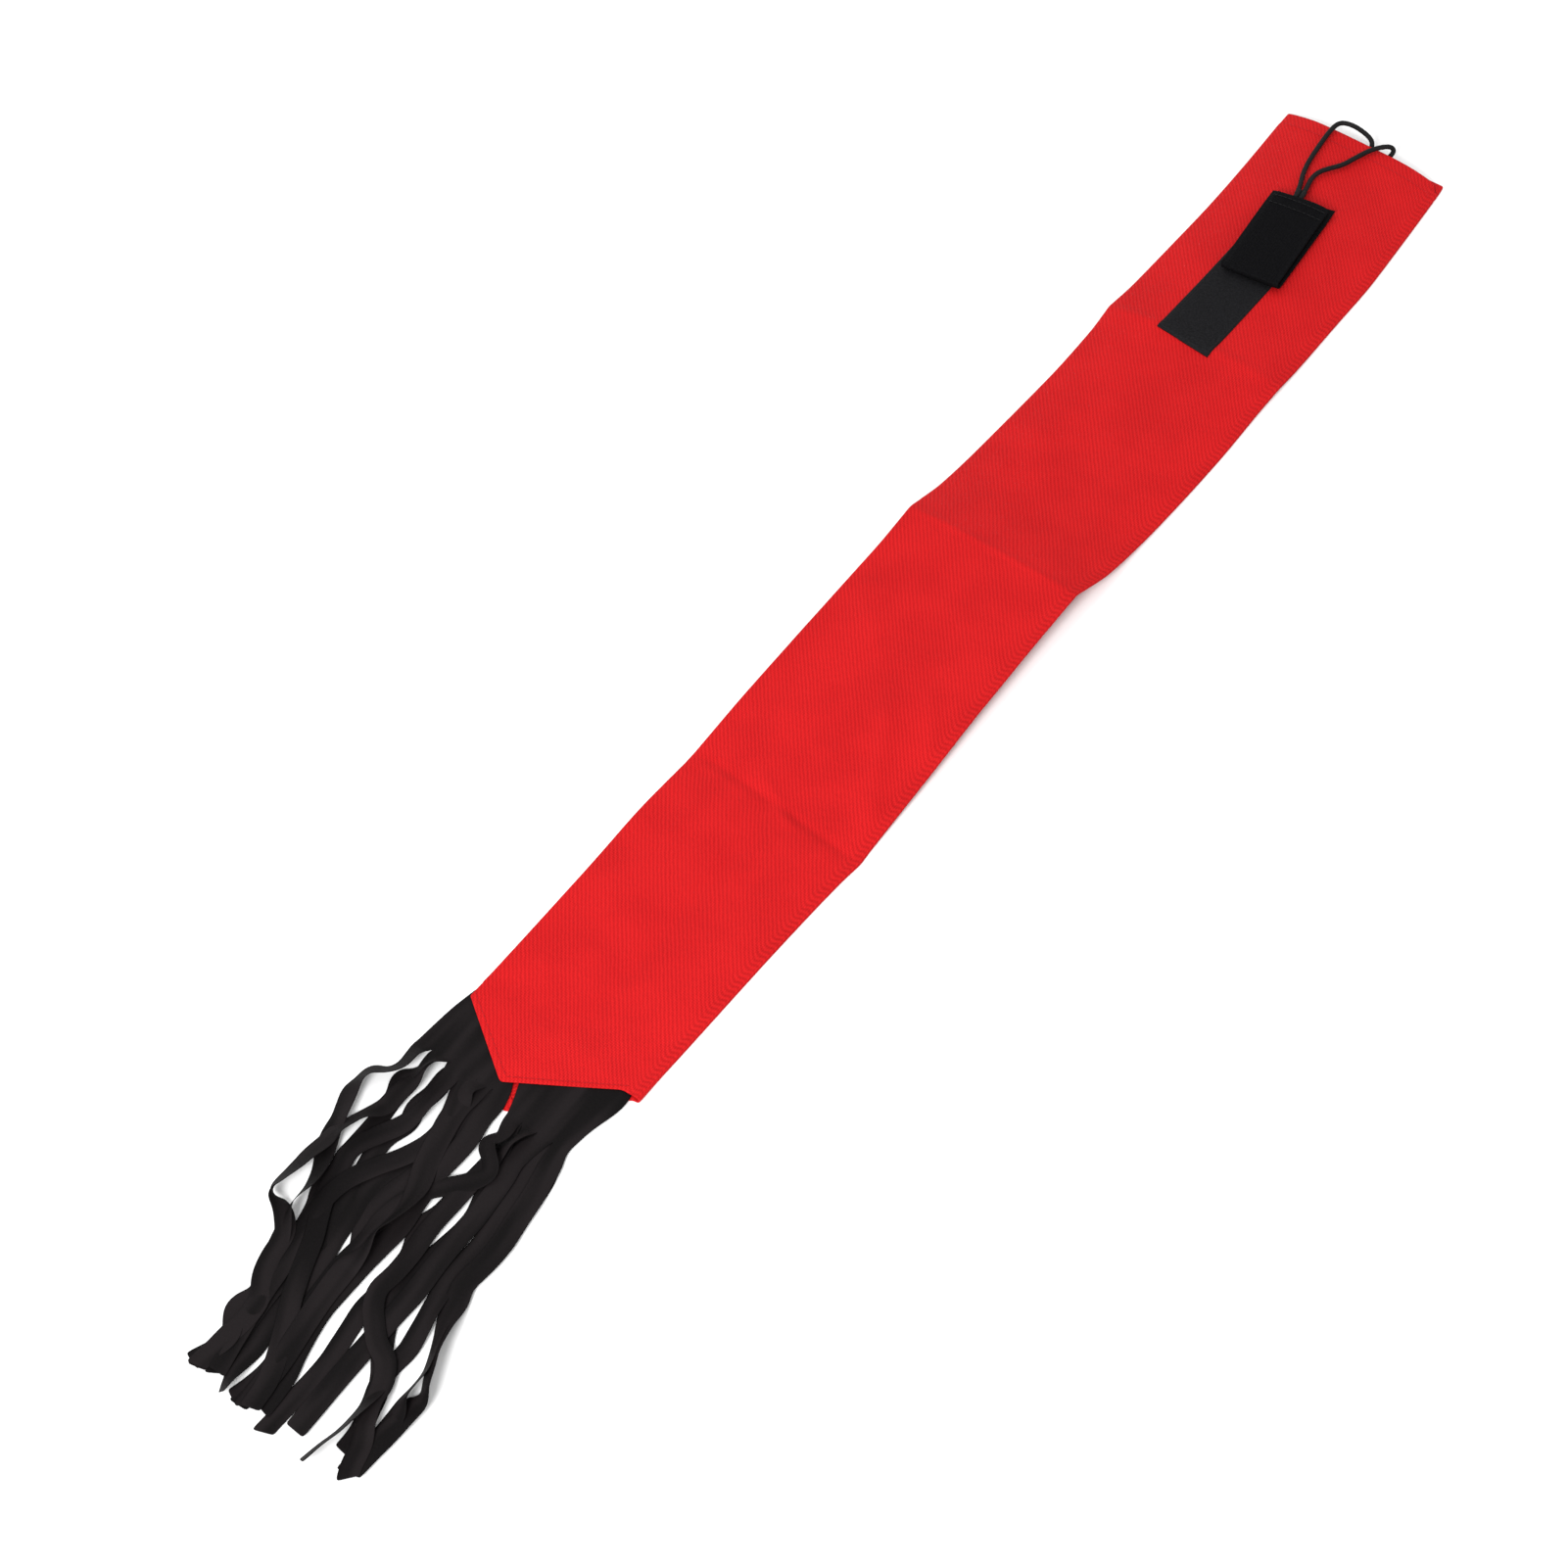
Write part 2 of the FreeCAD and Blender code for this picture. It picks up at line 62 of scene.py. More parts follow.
# ---- sizes of the cloth and tape, in millimetres ------------------------------------------
CLOTH = 0.4
FRINGE_CLOTH = 0.35
TAPE_WIDTH = 38.0
STRIP_MIDDLE_X = 0.5
STRIP_TOP_Y = -75.0
STRIP_END_Y = -205.2
STRIP_TOP_SLANT = 0.02  # how far each end runs down the sleeve, per mm to the right
STRIP_END_SLANT = 0.1
STRIP_LIFT = 0.62  # height of the strip's selvedges over the cloth
LOOP_PITCH = 1.25
LOOP_ROOT_LIFT = 0.86
PILE_HALF_WIDTH = 15.6
CORD = 3.0
YARN_PITCH = 1.25
TWILL_PITCH = 2.2
TWILL_DIRECTION = (0.77, 0.64)
HEM_DEPTH = 11.0
SEAM_ALLOWANCE = 8.0
LAYER = 0.45  # from the middle of one cloth to the middle of the next
POINT = (-8.0, -839.0)
FRONT_CORNERS = (-57.0, 49.0)
CORNER_Y = -806.0
BACK_POINT = (4.5, -851.5)
TOPSTITCH_INSET = 4.0
HEADER_FRONT_Z = 1.55
HEADER_BACK_Z = 1.1

# How the sleeve lies: (y, left edge, right edge, rise off the surface, inner gap at the middle,
# inner gap at the edges)
SLEEVE = [
    (4.0, -54.8, 57.4, 0.0, 7.0, 0.0),
    (-10.0, -54.3, 58.8, 0.0, 6.8, 0.0),
    (-40.0, -52.8, 61.0, 0.0, 6.4, 0.0),
    (-70.0, -51.7, 63.0, 0.0, 6.2, 0.0),
    (-100.0, -51.3, 64.9, 0.0, 6.2, 0.0),
    (-135.0, -52.0, 64.6, 0.0, 6.2, 0.0),
    (-180.0, -52.7, 65.1, 0.6, 6.2, 0.0),
    (-201.0, -54.2, 64.8, 1.5, 6.2, 0.0),
    (-222.0, -52.4, 64.4, 0.6, 6.2, 0.0),
    (-260.0, -51.9, 65.4, 0.0, 6.2, 0.0),
    (-300.0, -52.9, 65.1, 0.4, 6.0, 0.0),
    (-346.0, -54.3, 63.9, 1.2, 5.8, 0.0),
    (-379.0, -53.4, 63.6, 7.0, 4.2, 0.0),
    (-406.0, -54.6, 60.2, 14.2, 2.6, 0.0),
    (-440.0, -53.8, 60.0, 12.0, 2.8, 0.0),
    (-508.0, -54.8, 60.7, 8.6, 3.2, 0.0),
    (-570.0, -56.3, 62.0, 3.2, 3.2, 0.0),
    (-607.0, -56.1, 62.1, 0.2, 2.7, 0.0),
    (-618.0, -56.0, 63.0, 0.0, 2.6, 0.0),
    (-634.0, -56.6, 61.4, 0.2, 2.6, 0.0),
    (-660.0, -57.6, 60.2, 0.2, 2.6, 0.0),
    (-700.0, -56.3, 58.9, 0.0, 2.8, 0.0),
    (-770.0, -55.5, 57.8, 0.0, 1.8, 0.6),
    (-798.0, -55.3, 57.0, 0.0, 1.0, 1.0),
    (-850.0, -55.3, 57.0, 0.0, 1.0, 1.0),
]
CREASES = (-201.0, -406.0, -618.0)  # where the bag was folded in its packet
CROWN_POWER = 4

# Soft folds of the front cloth: start, end, height (below 0 for a dent) and width
FOLDS = [
    ((-60, -202), (66, -199), 0.7, 4.0),
    ((-62, -406), (68, -407), 0.5, 2.2),
    ((-62, -608), (68, -619), -1.1, 3.0),
    ((-18, -600), (22, -623), 1.3, 3.6),
    ((12, -519), (56, -603), 2.3, 6.5),
    ((30, -505), (60, -548), 1.2, 5.0),
    ((5, -640), (5, -800), -0.6, 5.0),
    ((-40, -300), (10, -352), 0.6, 9.0),
    ((-50, -455), (-10, -500), 0.8, 7.0),
    ((20, -700), (50, -745), 0.7, 8.0),
]

# Cord routes from the tab over the mouth to the tape inside it
CORD_LEFT = [
    (-7.6, -65.8, 11.7), (-9.8, -58.0, 11.3), (-14.2, -48.5, 10.4), (-17.6, -35.5, 9.9),
    (-19.6, -19.0, 9.9), (-20.8, -4.0, 10.2), (-19.0, 3.0, 11.0), (-11.5, 5.2, 11.0),
    (-2.5, 4.4, 10.2), (3.6, 3.6, 7.8), (5.4, 1.8, 4.8), (6.6, -2.4, 3.4),
    (7.8, -8.6, 3.0), (8.2, -16.0, 2.5), (8.2, -24.0, 2.5),
]
CORD_RIGHT = [
    (-4.2, -65.8, 11.7), (-5.4, -58.0, 11.2), (-8.2, -48.4, 10.2), (-7.6, -40.4, 9.9),
    (-3.2, -33.4, 9.9), (1.6, -27.0, 9.9), (4.8, -17.0, 9.9), (8.4, -7.6, 10.1),
    (13.0, -1.6, 10.7), (17.6, 2.4, 10.6), (19.8, 3.6, 7.8), (19.4, 1.8, 4.8),
    (18.2, -2.4, 3.5), (16.9, -8.6, 3.0), (16.2, -16.0, 2.5), (16.2, -24.0, 2.5),
]

# The tab, folded from one length of tape
TAB_MOUTH = (-1.4, -66.6)
TAB_LENGTH = 74.6
TAB_UPPER_SHORT = 2.8  # how far the upper layer stops short of the lower one at the open end
TAB_TURN = math.radians(5.6)
TAB_BOTTOM_Z = 8.9
TAB_HEIGHT = 5.6
TAB_BEND = TAB_HEIGHT / 2 - 0.55  # radius of the fold, to the middle of the tape
TAB_STRAIGHT = TAB_LENGTH - TAB_HEIGHT / 2
TAB_ARC = math.pi * TAB_BEND
TAB_RUN = 2 * TAB_STRAIGHT + TAB_ARC - TAB_UPPER_SHORT  # from one cut end of the tape to the other
HOOK_PITCH = 1.45
HOOK_COLUMNS = 22
HOOK_FIRST_X = -15.2
TAB_STITCH_ROWS = (4.2, 11.2)  # from the upper layer's cut end
TAB_STITCHES = 11
TAB_STITCH_LENGTH = 2.5
TAB_STITCH_PITCH = 3.2
TAB_STITCH_FIRST_X = -16.8

# Fringe strips: the layer of the pile that each one lies in at its root and at its end, its width, and
# its line from the cut to its end as (x, y) where it lies flat, or (x, y, degrees turned on edge)
FRINGE = {
    "front_left": [
        (4, 3, 11.5, [
            (-57.6, -851, 30), (-58.3, -860, 36), (-62.5, -866.5, 41), (-69.3, -871, 36),
            (-71, -878.5, 44), (-70.2, -887, 24), (-67.4, -895, 24), (-64.5, -903, 27), (-62, -912, 15),
            (-58, -921, 5), (-52.5, -932, 30), (-50.2, -943, 48), (-50.8, -952, 62), (-49.5, -960, 60),
            (-41.8, -976, 10), (-37, -989), (-30.5, -1006), (-34, -1019), (-25.5, -1034, 10),
            (-32, -1055),
        ]),
        (6, 5, 11.5, [
            (-47.8, -852, 38), (-47.8, -858, 42), (-47.3, -866, 12), (-48.3, -875), (-48.6, -885),
            (-54.5, -893, 34), (-58, -901, 36), (-61, -910, 30), (-60.6, -917, 20), (-62.6, -928, 26),
            (-63.2, -936, 32), (-64.2, -944, 41), (-65, -950, 47), (-64.5, -954.5, 62),
            (-60.5, -957.8, 125), (-55, -960, 145), (-48.5, -964.5, 160), (-41.5, -973, 175),
            (-39, -986, 180), (-35, -997, 180), (-27.5, -1008, 180), (-25.5, -1021, 180),
            (-27, -1036, 180), (-28.5, -1055, 180),
        ]),
        (3, 7, 11.5, [
            (-33, -850), (-32.6, -862, 20), (-32.8, -874, 20), (-33.8, -887), (-39.8, -899), (-45, -910),
            (-46.3, -919), (-43, -930), (-40, -942), (-35, -953), (-28, -966), (-21.5, -982),
            (-15.5, -996), (-9.5, -1007), (-3.5, -1018), (2.5, -1030), (7, -1042), (9, -1057),
        ]),
        (4, 5, 11.5, [
            (-25, -849), (-20.2, -861), (-15.8, -875), (-15.8, -888), (-21, -902), (-30, -917),
            (-36.5, -931), (-38.3, -947), (-35, -965), (-31, -985), (-28, -1005), (-23, -1030),
            (-18, -1052),
        ]),
        (5, 6, 13.5, [
            (-15.5, -849), (-17, -860), (-16.3, -870), (-14, -880), (-11.5, -890), (-8, -901),
            (-3.5, -912, 10), (-1.8, -924, 38), (-3, -935, 52), (-5, -945, 58), (-3, -958, 30),
            (-3, -970), (-2, -985), (0, -1000), (2.5, -1015), (5, -1030), (6, -1045), (7, -1058),
        ]),
        (5, 3, 12.8, [
            (-3, -850), (-3, -862), (-0.6, -875), (-0.4, -888), (-1, -901), (1, -918), (3.8, -935),
            (3, -950), (2.3, -965), (2.3, -985), (2.8, -998), (5, -1010), (8.5, -1023), (12.5, -1036),
            (14, -1055),
        ]),
    ],
    "front_right": [
        (5, 2, 11.5, [
            (11.5, -855, 10), (12.8, -863, 30), (8.5, -870.5, 25), (14.5, -876, 45), (21, -884, 15),
            (17.5, -893), (10, -902), (2, -911), (-3, -921), (-6, -935), (-7, -950, 30), (-6, -970),
            (-5, -985), (-3, -1000), (0, -1015), (3, -1033), (2, -1046), (-1.5, -1059),
        ]),
        (4, 7, 11.5, [
            (20.5, -855, 20), (17.5, -864, 40), (17, -873, 20), (17.5, -884), (17, -897), (17, -912),
            (17, -928), (18.8, -943), (19.3, -957), (18.3, -969), (22.5, -978), (30, -986), (38, -993),
            (47.5, -998), (54.3, -1008), (57.3, -1019, 20), (61.8, -1030, 15), (67.5, -1040), (71, -1052),
            (74, -1058),
        ]),
        (5, 4, 12.5, [
            (30.5, -855), (28, -864), (27.5, -873), (29.3, -882), (30.8, -893), (32.2, -907),
            (32.4, -922), (33, -940), (34.5, -960), (34.3, -980), (34.3, -1000), (34.5, -1020),
            (35.5, -1054),
        ]),
        (4, 5, 13.0, [
            (43, -858), (46, -871), (48.8, -885), (50.8, -900), (52.7, -912), (53.2, -925), (52.2, -936),
            (52, -943), (55.3, -952), (57.4, -961, 20), (60, -968, 40), (64.2, -979, 55), (69, -989, 56),
            (74, -999, 58), (75, -1006, 15), (74.7, -1016, 10), (74, -1028), (73, -1042), (72, -1056),
        ]),
    ],
    "back_left": [
        (0, 1, 11.0, [
            (-48, -852, 50), (-50.3, -860, 30), (-53, -867), (-48.8, -878), (-46.8, -893), (-46.5, -906),
            (-46.5, -918), (-44.5, -929), (-44.5, -941), (-40, -951), (-36.5, -964), (-33, -982),
            (-27.5, -1004), (-27, -1021), (-28, -1040), (-28, -1056),
        ]),
        (1, 2, 11.5, [
            (-34, -853), (-33.5, -864), (-35.3, -876), (-32.3, -886), (-35.8, -898), (-35.8, -908),
            (-32, -925), (-28, -942), (-24, -960), (-24, -980), (-26, -1000), (-24, -1020), (-21, -1040),
            (-18, -1053),
        ]),
        (1, 1, 11.5, [
            (-21, -853, 20), (-16, -865), (-14.5, -885), (-19.5, -905), (-24, -923), (-21.5, -942),
            (-19.6, -957), (-16.8, -971), (-15, -985), (-14.5, -1003), (-13.5, -1018), (-11.2, -1031),
            (-11.5, -1041, 10), (-10.2, -1050, 40), (-8.5, -1058, 58),
        ]),
        (2, 0, 11.5, [
            (-7, -855), (-5.5, -870), (-5, -890), (-11, -914), (-14, -930), (-12.5, -944), (-4.2, -959),
            (-3.5, -970), (-4, -985), (-3, -1000), (1, -1015), (3, -1030), (3.4, -1045), (3, -1060),
        ]),
    ],
    "back_right": [
        (1, 1, 11.0, [
            (14, -857, 20), (16.5, -866, 20), (19.5, -878), (18, -890), (16.3, -905), (15.5, -917),
            (12.4, -930), (18.5, -946), (20, -966), (19, -981), (20.6, -993), (22.4, -1004), (24, -1016),
            (24, -1034), (23, -1064),
        ]),
        (0, 2, 11.5, [
            (24, -857), (26.5, -872), (26, -890), (31.5, -910), (30, -932), (27, -950), (28.5, -968),
            (34.5, -982), (42, -994.5), (50, -1004.5), (55.5, -1014), (59, -1025), (62, -1036),
            (62.5, -1049),
        ]),
        (2, 3, 11.5, [
            (34, -857), (36, -871), (37.5, -888), (40.3, -903), (44, -917), (44, -930), (44.4, -945),
            (46, -957, 10), (47.8, -966, 15), (50.2, -976, 8), (52.6, -988), (51.7, -1000),
            (53, -1010, 10), (54.5, -1020, 42), (54, -1030, 53), (53, -1040, 55), (50.4, -1051, 55),
            (48.5, -1063, 53),
        ]),
        (0, 2, 11.5, [
            (43, -860), (47.5, -873), (50, -890), (52.5, -908), (53, -925), (52.5, -942), (55, -957, 15),
            (59, -969, 48), (63.5, -980, 58), (67, -990, 60), (67.3, -1000, 61), (67.5, -1009, 52),
            (71.5, -1020, 15), (72.5, -1036), (71, -1053),
        ]),
    ],
}
SLIT_Y = {"left": -843.5, "right": -851.0}  # where the cuts in the fringe cloths start
# The strips' lines are cast on the floor along the camera's view. A point that lies higher is this far
# nearer to the camera in plan, per mm of height.
LEAN = (0.475, -0.563)

# The frame's mouth edge and base strip say where bag coordinates start
STRIP_LOW, STRIP_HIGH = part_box("loop_base_strip")
BAG_ORIGIN = np.array([
    (STRIP_LOW.x + STRIP_HIGH.x) / 2 - STRIP_MIDDLE_X * MM,
    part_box("back_cloth")[1].y,
    0.0,
])


def place(points):
    """Bag millimetres to frame metres."""
    return np.asarray(points, float) * MM + BAG_ORIGIN


def spot(x, y, z):
    return place((x, y, z))


# ---- mesh helpers --------------------------------------------------------------------------
def make_mesh(name, points, faces, material, flat=None):
    """A mesh object from bag millimetres. flat gives each vertex its place on the uncut cloth, in mm."""
    mesh = bpy.data.meshes.new(name)
    mesh.from_pydata(place(points).tolist(), [], faces)
    mesh.materials.append(material)
    mesh.polygons.foreach_set("use_smooth", [True] * len(mesh.polygons))
    if flat is not None:
        corners = np.zeros(len(mesh.loops), np.int32)
        mesh.loops.foreach_get("vertex_index", corners)
        layer = mesh.uv_layers.new(name="cloth")
        layer.data.foreach_set("uv", np.asarray(flat, np.float32)[corners].ravel())
    mesh.validate()
    obj = bpy.data.objects.new(name, mesh)
    bpy.context.scene.collection.objects.link(obj)
    return obj


def grid_faces(rows, columns, start=0, keep=None):
    """Quads of a grid whose vertices are stored row by row."""
    faces = []
    for r in range(rows - 1):
        for c in range(columns - 1):
            if keep is None or keep(r, c):
                corner = start + r * columns + c
                faces.append((corner, corner + 1, corner + columns + 1, corner + columns))
    return faces


def thicken(obj, thickness):
    """Gives a cloth its thickness, half on each side, and rounds it."""
    solid = obj.modifiers.new("thickness", "SOLIDIFY")
    solid.thickness = thickness * MM
    solid.offset = 0.0
    solid.use_even_offset = False
    rounding = obj.modifiers.new("rounding", "SUBSURF")
    rounding.levels = 1
    rounding.render_levels = 1
    depsgraph = bpy.context.evaluated_depsgraph_get()
    mesh = bpy.data.meshes.new_from_object(obj.evaluated_get(depsgraph))
    obj.modifiers.clear()
    obj.data = mesh


def smoothstep(value, low, high):
    """0 below low, 1 above high, and a smooth step between them."""
    share = np.clip((value - low) / (high - low), 0.0, 1.0)
    return share * share * (3.0 - 2.0 * share)


def smooth_line(points, spacing):
    """A Catmull-Rom line through the points, with a point about every spacing."""
    points = np.asarray(points, float)
    padded = np.vstack([2 * points[0] - points[1], points, 2 * points[-1] - points[-2]])
    line = []
    for i in range(1, len(padded) - 2):
        before, start, end, after = padded[i - 1 : i + 3]
        count = max(2, int(round(np.linalg.norm((end - start)[:2]) / spacing)))
        for t in np.arange(count) / count:
            velocity = (end - before) * t
            bend = (2 * before - 5 * start + 4 * end - after) * t**2
            twist = (3 * start - before - 3 * end + after) * t**3
            line.append(0.5 * (2 * start + velocity + bend + twist))
    line.append(padded[-2])
    return np.array(line)


def lengths_along(points):
    """The length of a polyline up to each of its points."""
    return np.concatenate([[0.0], np.cumsum(np.linalg.norm(np.diff(points, axis=0), axis=1))])


def tube(points, radii, sides, ends=True):
    """A round tube along a polyline. radii is a number, or a function of the length so far and the angle."""
    points = np.asarray(points, float)
    tangents = np.gradient(points, axis=0)
    tangents /= np.linalg.norm(tangents, axis=1)[:, None]
    side = np.cross(tangents[0], (0.0, 0.0, 1.0))
    if np.linalg.norm(side) < 1e-6:
        side = np.array([1.0, 0.0, 0.0])
    rings = []
    travelled = lengths_along(points)
    for i, (point, tangent) in enumerate(zip(points, tangents)):
        side = side - tangent * side.dot(tangent)
        side /= np.linalg.norm(side)
        up = np.cross(side, tangent)
        for k in range(sides):
            angle = 2 * math.pi * k / sides
            radius = radii(travelled[i], angle) if callable(radii) else radii
            rings.append(point + radius * (math.cos(angle) * side + math.sin(angle) * up))
    faces = []
    for i in range(len(points) - 1):
        for k in range(sides):
            a = i * sides + k
            b = i * sides + (k + 1) % sides
            faces.append((a, b, b + sides, a + sides))
    if ends:
        faces.append(tuple(range(sides))[::-1])
        faces.append(tuple((len(points) - 1) * sides + k for k in range(sides)))
    return np.array(rings), faces


def join_pieces(pieces):
    """Several (points, faces) as one."""
    points = []
    faces = []
    start = 0
    for some_points, some_faces in pieces:
        points.append(some_points)
        faces += [tuple(start + v for v in face) for face in some_faces]
        start += len(some_points)
    return np.vstack(points), faces


# ---- materials -----------------------------------------------------------------------------
def linear(red, green, blue):
    """A screen colour, 0 to 255, as the linear colour that a shader takes."""
    def channel(value):
        value /= 255.0
        return value / 12.92 if value <= 0.04045 else ((value + 0.055) / 1.055) ** 2.4
    return (channel(red), channel(green), channel(blue), 1.0)


class Cloth:
    """A material's nodes, added one at a time."""

    def __init__(self, name, roughness, specular=0.3, sheen=0.0, sheen_roughness=0.5):
        self.material = bpy.data.materials.new(name)
        self.material.use_nodes = True
        self.nodes = self.material.node_tree.nodes
        self.links = self.material.node_tree.links
        self.surface = self.nodes["Principled BSDF"]
        self.surface.inputs["Roughness"].default_value = roughness
        self.surface.inputs["Specular IOR Level"].default_value = specular
        self.surface.inputs["Sheen Weight"].default_value = sheen
        self.surface.inputs["Sheen Roughness"].default_value = sheen_roughness

    def feed(self, value, socket):
        if isinstance(value, bpy.types.NodeSocket):
            self.links.new(value, socket)
        else:
            socket.default_value = value

    def math(self, operation, *values):
        node = self.nodes.new("ShaderNodeMath")
        node.operation = operation
        for value, socket in zip(values, node.inputs):
            self.feed(value, socket)
        return node.outputs[0]

    def flat_place(self):
        """Where a point lies on the uncut cloth, in mm."""
        node = self.nodes.new("ShaderNodeUVMap")
        node.uv_map = "cloth"
        return node.outputs["UV"]

    def object_place(self):
        """Where a point lies in the frame, in metres."""
        return self.nodes.new("ShaderNodeTexCoord").outputs["Object"]

    def object_millimetres(self):
        return self.stretched(self.object_place(), (1 / MM,) * 3)

    def stretched(self, place, stretch):
        node = self.nodes.new("ShaderNodeVectorMath")
        node.operation = "MULTIPLY"
        self.feed(place, node.inputs[0])
        node.inputs[1].default_value = stretch
        return node.outputs[0]

    def split(self, place):
        node = self.nodes.new("ShaderNodeSeparateXYZ")
        self.feed(place, node.inputs[0])
        return node.outputs[0], node.outputs[1], node.outputs[2]

    def noise(self, place, scale, detail=3.0, roughness=0.55):
        node = self.nodes.new("ShaderNodeTexNoise")
        self.feed(place, node.inputs["Vector"])
        node.inputs["Scale"].default_value = scale
        node.inputs["Detail"].default_value = detail
        node.inputs["Roughness"].default_value = roughness
        return node.outputs["Fac"]

    def ramp(self, value, low, high, to_low=0.0, to_high=1.0):
        node = self.nodes.new("ShaderNodeMapRange")
        node.interpolation_type = "SMOOTHSTEP"
        for number, key in zip((low, high, to_low, to_high), ("From Min", "From Max", "To Min", "To Max")):
            node.inputs[key].default_value = number
        self.feed(value, node.inputs["Value"])
        return node.outputs["Result"]

    def mix(self, share, dark, light):
        node = self.nodes.new("ShaderNodeMix")
        node.data_type = "RGBA"
        self.feed(share, node.inputs[0])
        self.feed(dark, node.inputs[6])
        self.feed(light, node.inputs[7])
        return node.outputs[2]

    def weave(self, pitch):
        """Height of a plain weave, from 0 to 1."""
        across, along, _ = self.split(self.flat_place())
        turn = math.pi / pitch
        warp_wave = self.math("SINE", self.math("MULTIPLY", across, turn))
        weft_wave = self.math("SINE", self.math("MULTIPLY", along, turn))
        on_top = self.ramp(self.math("MULTIPLY", warp_wave, weft_wave), -0.35, 0.35)
        warp = self.math("ABSOLUTE", warp_wave)
        weft = self.math("ABSOLUTE", weft_wave)
        difference = self.math("SUBTRACT", warp, weft)
        return self.math("MULTIPLY_ADD", difference, on_top, weft)

    def bump(self, height, distance, strength=1.0, before=None):
        node = self.nodes.new("ShaderNodeBump")
        node.inputs["Strength"].default_value = strength
        node.inputs["Distance"].default_value = distance * MM
        self.feed(height, node.inputs["Height"])
        if before is not None:
            self.feed(before, node.inputs["Normal"])
        return node.outputs[0]

    def finish(self, colour, normal, roughness=None):
        self.feed(colour, self.surface.inputs["Base Color"])
        self.feed(normal, self.surface.inputs["Normal"])
        if roughness is not None:
            self.feed(roughness, self.surface.inputs["Roughness"])
        return self.material


def red_cloth():
    """Red woven cloth with faint slanting twill lines. Its colour is partly painted shade and light: darker
    in the gaps between the yarns and in the twill's grooves, lighter on the yarns' tops, with random tone
    from fibres and clouds on top.
    """
    cloth = Cloth("red_oxford_cloth", 0.7, specular=0.1)
    height = cloth.weave(YARN_PITCH)
    across, along, _ = cloth.split(cloth.flat_place())
    wobble = cloth.noise(cloth.flat_place(), 0.2, 2.0)
    slant = cloth.math("MULTIPLY", along, TWILL_DIRECTION[1])
    slant = cloth.math("MULTIPLY_ADD", across, TWILL_DIRECTION[0], slant)
    slant = cloth.math("MULTIPLY_ADD", wobble, 1.2, slant)
    twill = cloth.math("SINE", cloth.math("MULTIPLY", slant, 2.0 * math.pi / TWILL_PITCH))
    fibres = cloth.noise(cloth.stretched(cloth.flat_place(), (2.4, 0.5, 1.0)), 1.0, 3.0)
    clouds = cloth.noise(cloth.flat_place(), 0.028, 2.0)
    # Painted shade and light: the colour is darker where the weave and the twill lie low, lighter where they
    # stand high
    shade = cloth.math("MULTIPLY_ADD", height, 0.4, 0.1)
    shade = cloth.math("MULTIPLY_ADD", twill, 0.17, shade)
    shade = cloth.math("ADD", shade, cloth.ramp(fibres, 0.3, 0.7, -0.06, 0.16))
    shade = cloth.math("ADD", shade, cloth.ramp(clouds, 0.3, 0.7, -0.04, 0.08))
    colour = cloth.mix(shade, linear(155, 7, 12), linear(219, 30, 32))
    relief = cloth.math("MULTIPLY_ADD", twill, 0.2, height)
    normal = cloth.bump(relief, 0.16)
    return cloth.finish(colour, normal, cloth.ramp(height, 0.0, 1.0, 0.8, 0.6))


def fringe_cloth():
    """Thin black plain-woven cloth, whose tone drifts across its width."""
    cloth = Cloth("black_fringe_cloth", 0.6, specular=0.06)
    height = cloth.weave(0.45)
    fibres = cloth.noise(cloth.stretched(cloth.flat_place(), (3.0, 0.7, 1.0)), 1.0, 3.0)
    patches = cloth.noise(cloth.flat_place(), 0.06, 3.0)
    tones = cloth.noise(cloth.stretched(cloth.flat_place(), (0.09, 0.012, 1.0)), 1.0, 1.0)
    shade = cloth.math("MULTIPLY_ADD", fibres, 0.4, cloth.ramp(tones, 0.35, 0.65, 0.05, 0.6))
    colour = cloth.mix(shade, linear(3, 3, 3), linear(30, 26, 27))
    normal = cloth.bump(height, 0.05, 0.7)
    normal = cloth.bump(patches, 0.8, 0.5, before=normal)
    return cloth.finish(colour, normal, cloth.ramp(fibres, 0.2, 0.8, 0.75, 0.55))


def tape_cloth(name, light, specular, rib_pitch=0.7):
    """Woven nylon tape: fine ribs across, with a slightly open weave. Its colour is darker where the weave
    lies low, painted shade, with a random speckle.
    """
    cloth = Cloth(name, 0.5, specular=specular)
    height = cloth.weave(rib_pitch)
    speckle = cloth.noise(cloth.flat_place(), 0.9, 4.0, 0.75)
    # Painted shade: the colour is darker where the weave lies low; the speckle is random tone
    shade = cloth.math("MULTIPLY_ADD", height, 0.3, cloth.ramp(speckle, 0.3, 0.7, 0.0, 0.7))
    colour = cloth.mix(shade, linear(4, 4, 5), linear(light, light, light + 2))
    normal = cloth.bump(height, 0.12)
    return cloth.finish(colour, normal, cloth.ramp(speckle, 0.3, 0.7, 0.65, 0.5))


def thread(name, dark, light):
    """Twisted sewing thread. The bands of its colour along the twist are painted shade between the plies;
    its grain is random tone.
    """
    cloth = Cloth(name, 0.5, specular=0.2)
    across, along, _ = cloth.split(cloth.object_millimetres())
    twist = cloth.math("SINE", cloth.math("MULTIPLY", cloth.math("ADD", across, along), 14.0))
    grain = cloth.noise(cloth.object_millimetres(), 2.5, 2.0)
    # Painted shade: the colour is darker in the twist's grooves, plus random grain
    shade = cloth.math("MULTIPLY_ADD", twist, 0.25, cloth.math("MULTIPLY", grain, 0.8))
    colour = cloth.mix(shade, dark, light)
    return cloth.finish(colour, cloth.bump(twist, 0.05))


def fibre(name, dark, light):
    """Fine synthetic fibre: hooks and loops."""
    cloth = Cloth(name, 0.5, specular=0.06)
    grain = cloth.noise(cloth.object_millimetres(), 1.3, 3.0, 0.7)
    colour = cloth.mix(cloth.ramp(grain, 0.3, 0.7), dark, light)
    return cloth.finish(colour, cloth.bump(grain, 0.05))


